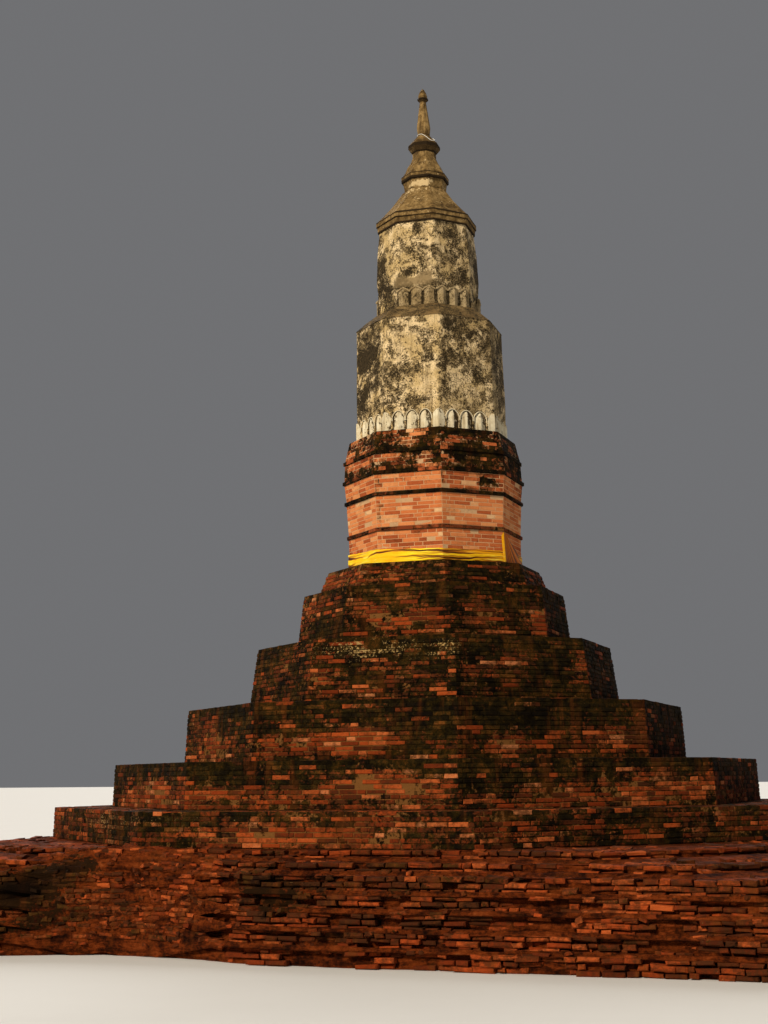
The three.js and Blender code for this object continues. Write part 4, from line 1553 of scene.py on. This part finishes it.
def drawn_up_sheet():
    """The loose corner of the cloth: wrapped over one corner of the drum, drawn up there and
    fanned down from it over the next face."""
    wall = rings_of("drum_band_1")[-1]
    k = min(np.argsort(wall[:, 0])[-2:], key=lambda i: wall[i][1])
    before, corner, far = wall[k - 1], wall[k], wall[(k + 1) % SIDES]
    sides = [unit((corner - before) * [1, 1, 0]), unit((far - corner) * [1, 1, 0])]
    outs = [right_of(side) for side in sides]
    width = np.linalg.norm((far - corner)[:2]) - 0.016
    points, creases, deep = [], [], []
    for j in range(FLAP_ROWS + 1):
        v = j / FLAP_ROWS
        for i in range(FLAP_ACROSS + 1):
            distance = -SASH_WRAP + (width + SASH_WRAP) * (i / FLAP_ACROSS) ** 1.4
            distance *= 1 if distance > 0 else 0.7 + 0.3 * v
            foot = corner + sides[distance > 0] * distance
            peak = SASH_DRAWN_UP - 0.004 + 1.6 * min(0.0, distance)
            top = peak - (peak - SASH_HIGH + 0.01) * max(0.0, distance / width) ** 1.08
            z = SASH_LOW + 0.03 + (top - SASH_LOW - 0.03) * v
            swing = math.atan2(max(0.0, distance), SASH_DRAWN_UP + 0.03 - z)
            fold = 0.5 + 0.5 * math.sin(30 * swing + 2.0 * math.sin(3.1 * swing) + 1.0)
            slack = smooth_step(distance, 0.0, 0.2)
            lift = 0.008 + 0.036 * (1 - v) ** 1.2 + 0.014 * fold * slack
            turned = smooth_step(distance, -0.02, 0.02)
            out = unit(outs[0] * (1 - turned) + outs[1] * turned)
            points.append(np.array([foot[0], foot[1], z]) + out * lift)
            # Painted shade over the flap, which lies on a face turned from the light: a crease floor of
            # 0.20 and full deep, darker still in the troughs of its folds; the strip wrapped over the
            # corner gets no crease and less deep.
            creases.append(0.0 if distance < 0.006 else 0.20 + 0.42 * (1 - fold) ** 1.3)
            deep.append(0.55 if distance < 0.006 else 1.0)
    faces = quads_between(FLAP_ROWS + 1, FLAP_ACROSS + 1, closed=False)
    return np.array(points), faces, np.array(creases), np.array(deep)


def cloth_piece(name, paints, points, faces, crease, deep):
    """The piece made of a sheet, and its area."""
    made = mesh_object(name, points, faces, [paints["cloth"]], smooth=True, crease=crease, deep=deep)
    a, b, c, d = points[faces].transpose(1, 0, 2)
    area = 0.5 * np.linalg.norm(np.cross(c - a, d - b), axis=1).sum()
    return stand_for(made, "sash"), float(area)


def build_sash(paints):
    band, area = cloth_piece("sash_cloth", paints, *sash_sheet())
    flap, area = cloth_piece("sash_loose_corner", paints, *drawn_up_sheet())
    area = round(area, 3)


def build_thread(paints):
    route = []
    for turn, height, distance in THREAD_ROUTE:
        place = distance * direction(turn + TOWER_TURN) + LEAN[:2] * (height - TOWER_FOOT)
        route.append((*place, height))
    curve = bpy.data.curves.new("votive_thread_loop", "CURVE")
    curve.dimensions = "3D"
    curve.bevel_depth = THREAD_DIAMETER / 2
    curve.bevel_resolution = 3
    curve.use_fill_caps = True
    spline = curve.splines.new("BEZIER")
    spline.bezier_points.add(len(route) - 1)
    for knot, place in zip(spline.bezier_points, route):
        knot.co = place
        knot.handle_left_type = knot.handle_right_type = "AUTO"
    curve.materials.append(paints["thread"])
    thread = stand_for(new_object("votive_thread_loop", curve), "votive_thread")


# Stage and light

FLOOR_REACH = 400
SKY_COLOUR = (0.95, 0.96, 1.0, 1)
SKY_STRENGTH = 0.17


def build_stage():
    p = Paint("pale_floor", roughness=0.85)
    floor_paint = p.finish(p.mix(p.noise(0.6, 3), (0.70, 0.69, 0.67), (0.74, 0.73, 0.71)))
    points = FLOOR_REACH * np.array([(-1, -1, 0), (1, -1, 0), (1, 1, 0), (-1, 1, 0)], float)
    mesh_object("floor", points, [[0, 1, 2, 3]], [floor_paint])


def soft_light(name, azimuth, elevation, power, spread, colour):
    """Distant light from the given direction, as soft as its spread in degrees."""
    data = bpy.data.lights.new(name, "SUN")
    data.energy = power
    data.angle = math.radians(spread)
    data.color = colour
    turn, rise = math.radians(azimuth), math.radians(elevation)
    toward = Vector((math.sin(turn) * math.cos(rise), -math.cos(turn) * math.cos(rise), math.sin(rise)))
    new_object(name, data).rotation_euler = toward.to_track_quat("Z", "Y").to_euler()


def build_light():
    world = bpy.data.worlds.new("studio")
    bpy.context.scene.world = world
    world.use_nodes = True
    background = world.node_tree.nodes["Background"]
    background.inputs["Color"].default_value = SKY_COLOUR
    background.inputs["Strength"].default_value = SKY_STRENGTH
    soft_light("key", -15, 32, 3.25, 8, (1.0, 0.88, 0.70))
    soft_light("fill", -80, 25, 0.35, 60, (1.0, 0.90, 0.76))
    soft_light("back", 200, 32, 1.9, 40, (0.98, 0.97, 0.95))
    bpy.context.scene.view_settings.view_transform = "Standard"


look_through_camera()
paints = make_paints()
build_thread(paints)
build_base(paints)
build_terraces(paints)
build_drum(paints)
build_stucco(paints)
build_lower_petals(paints)
build_upper_petals(paints)
build_sash(paints)
build_stage()
build_light()
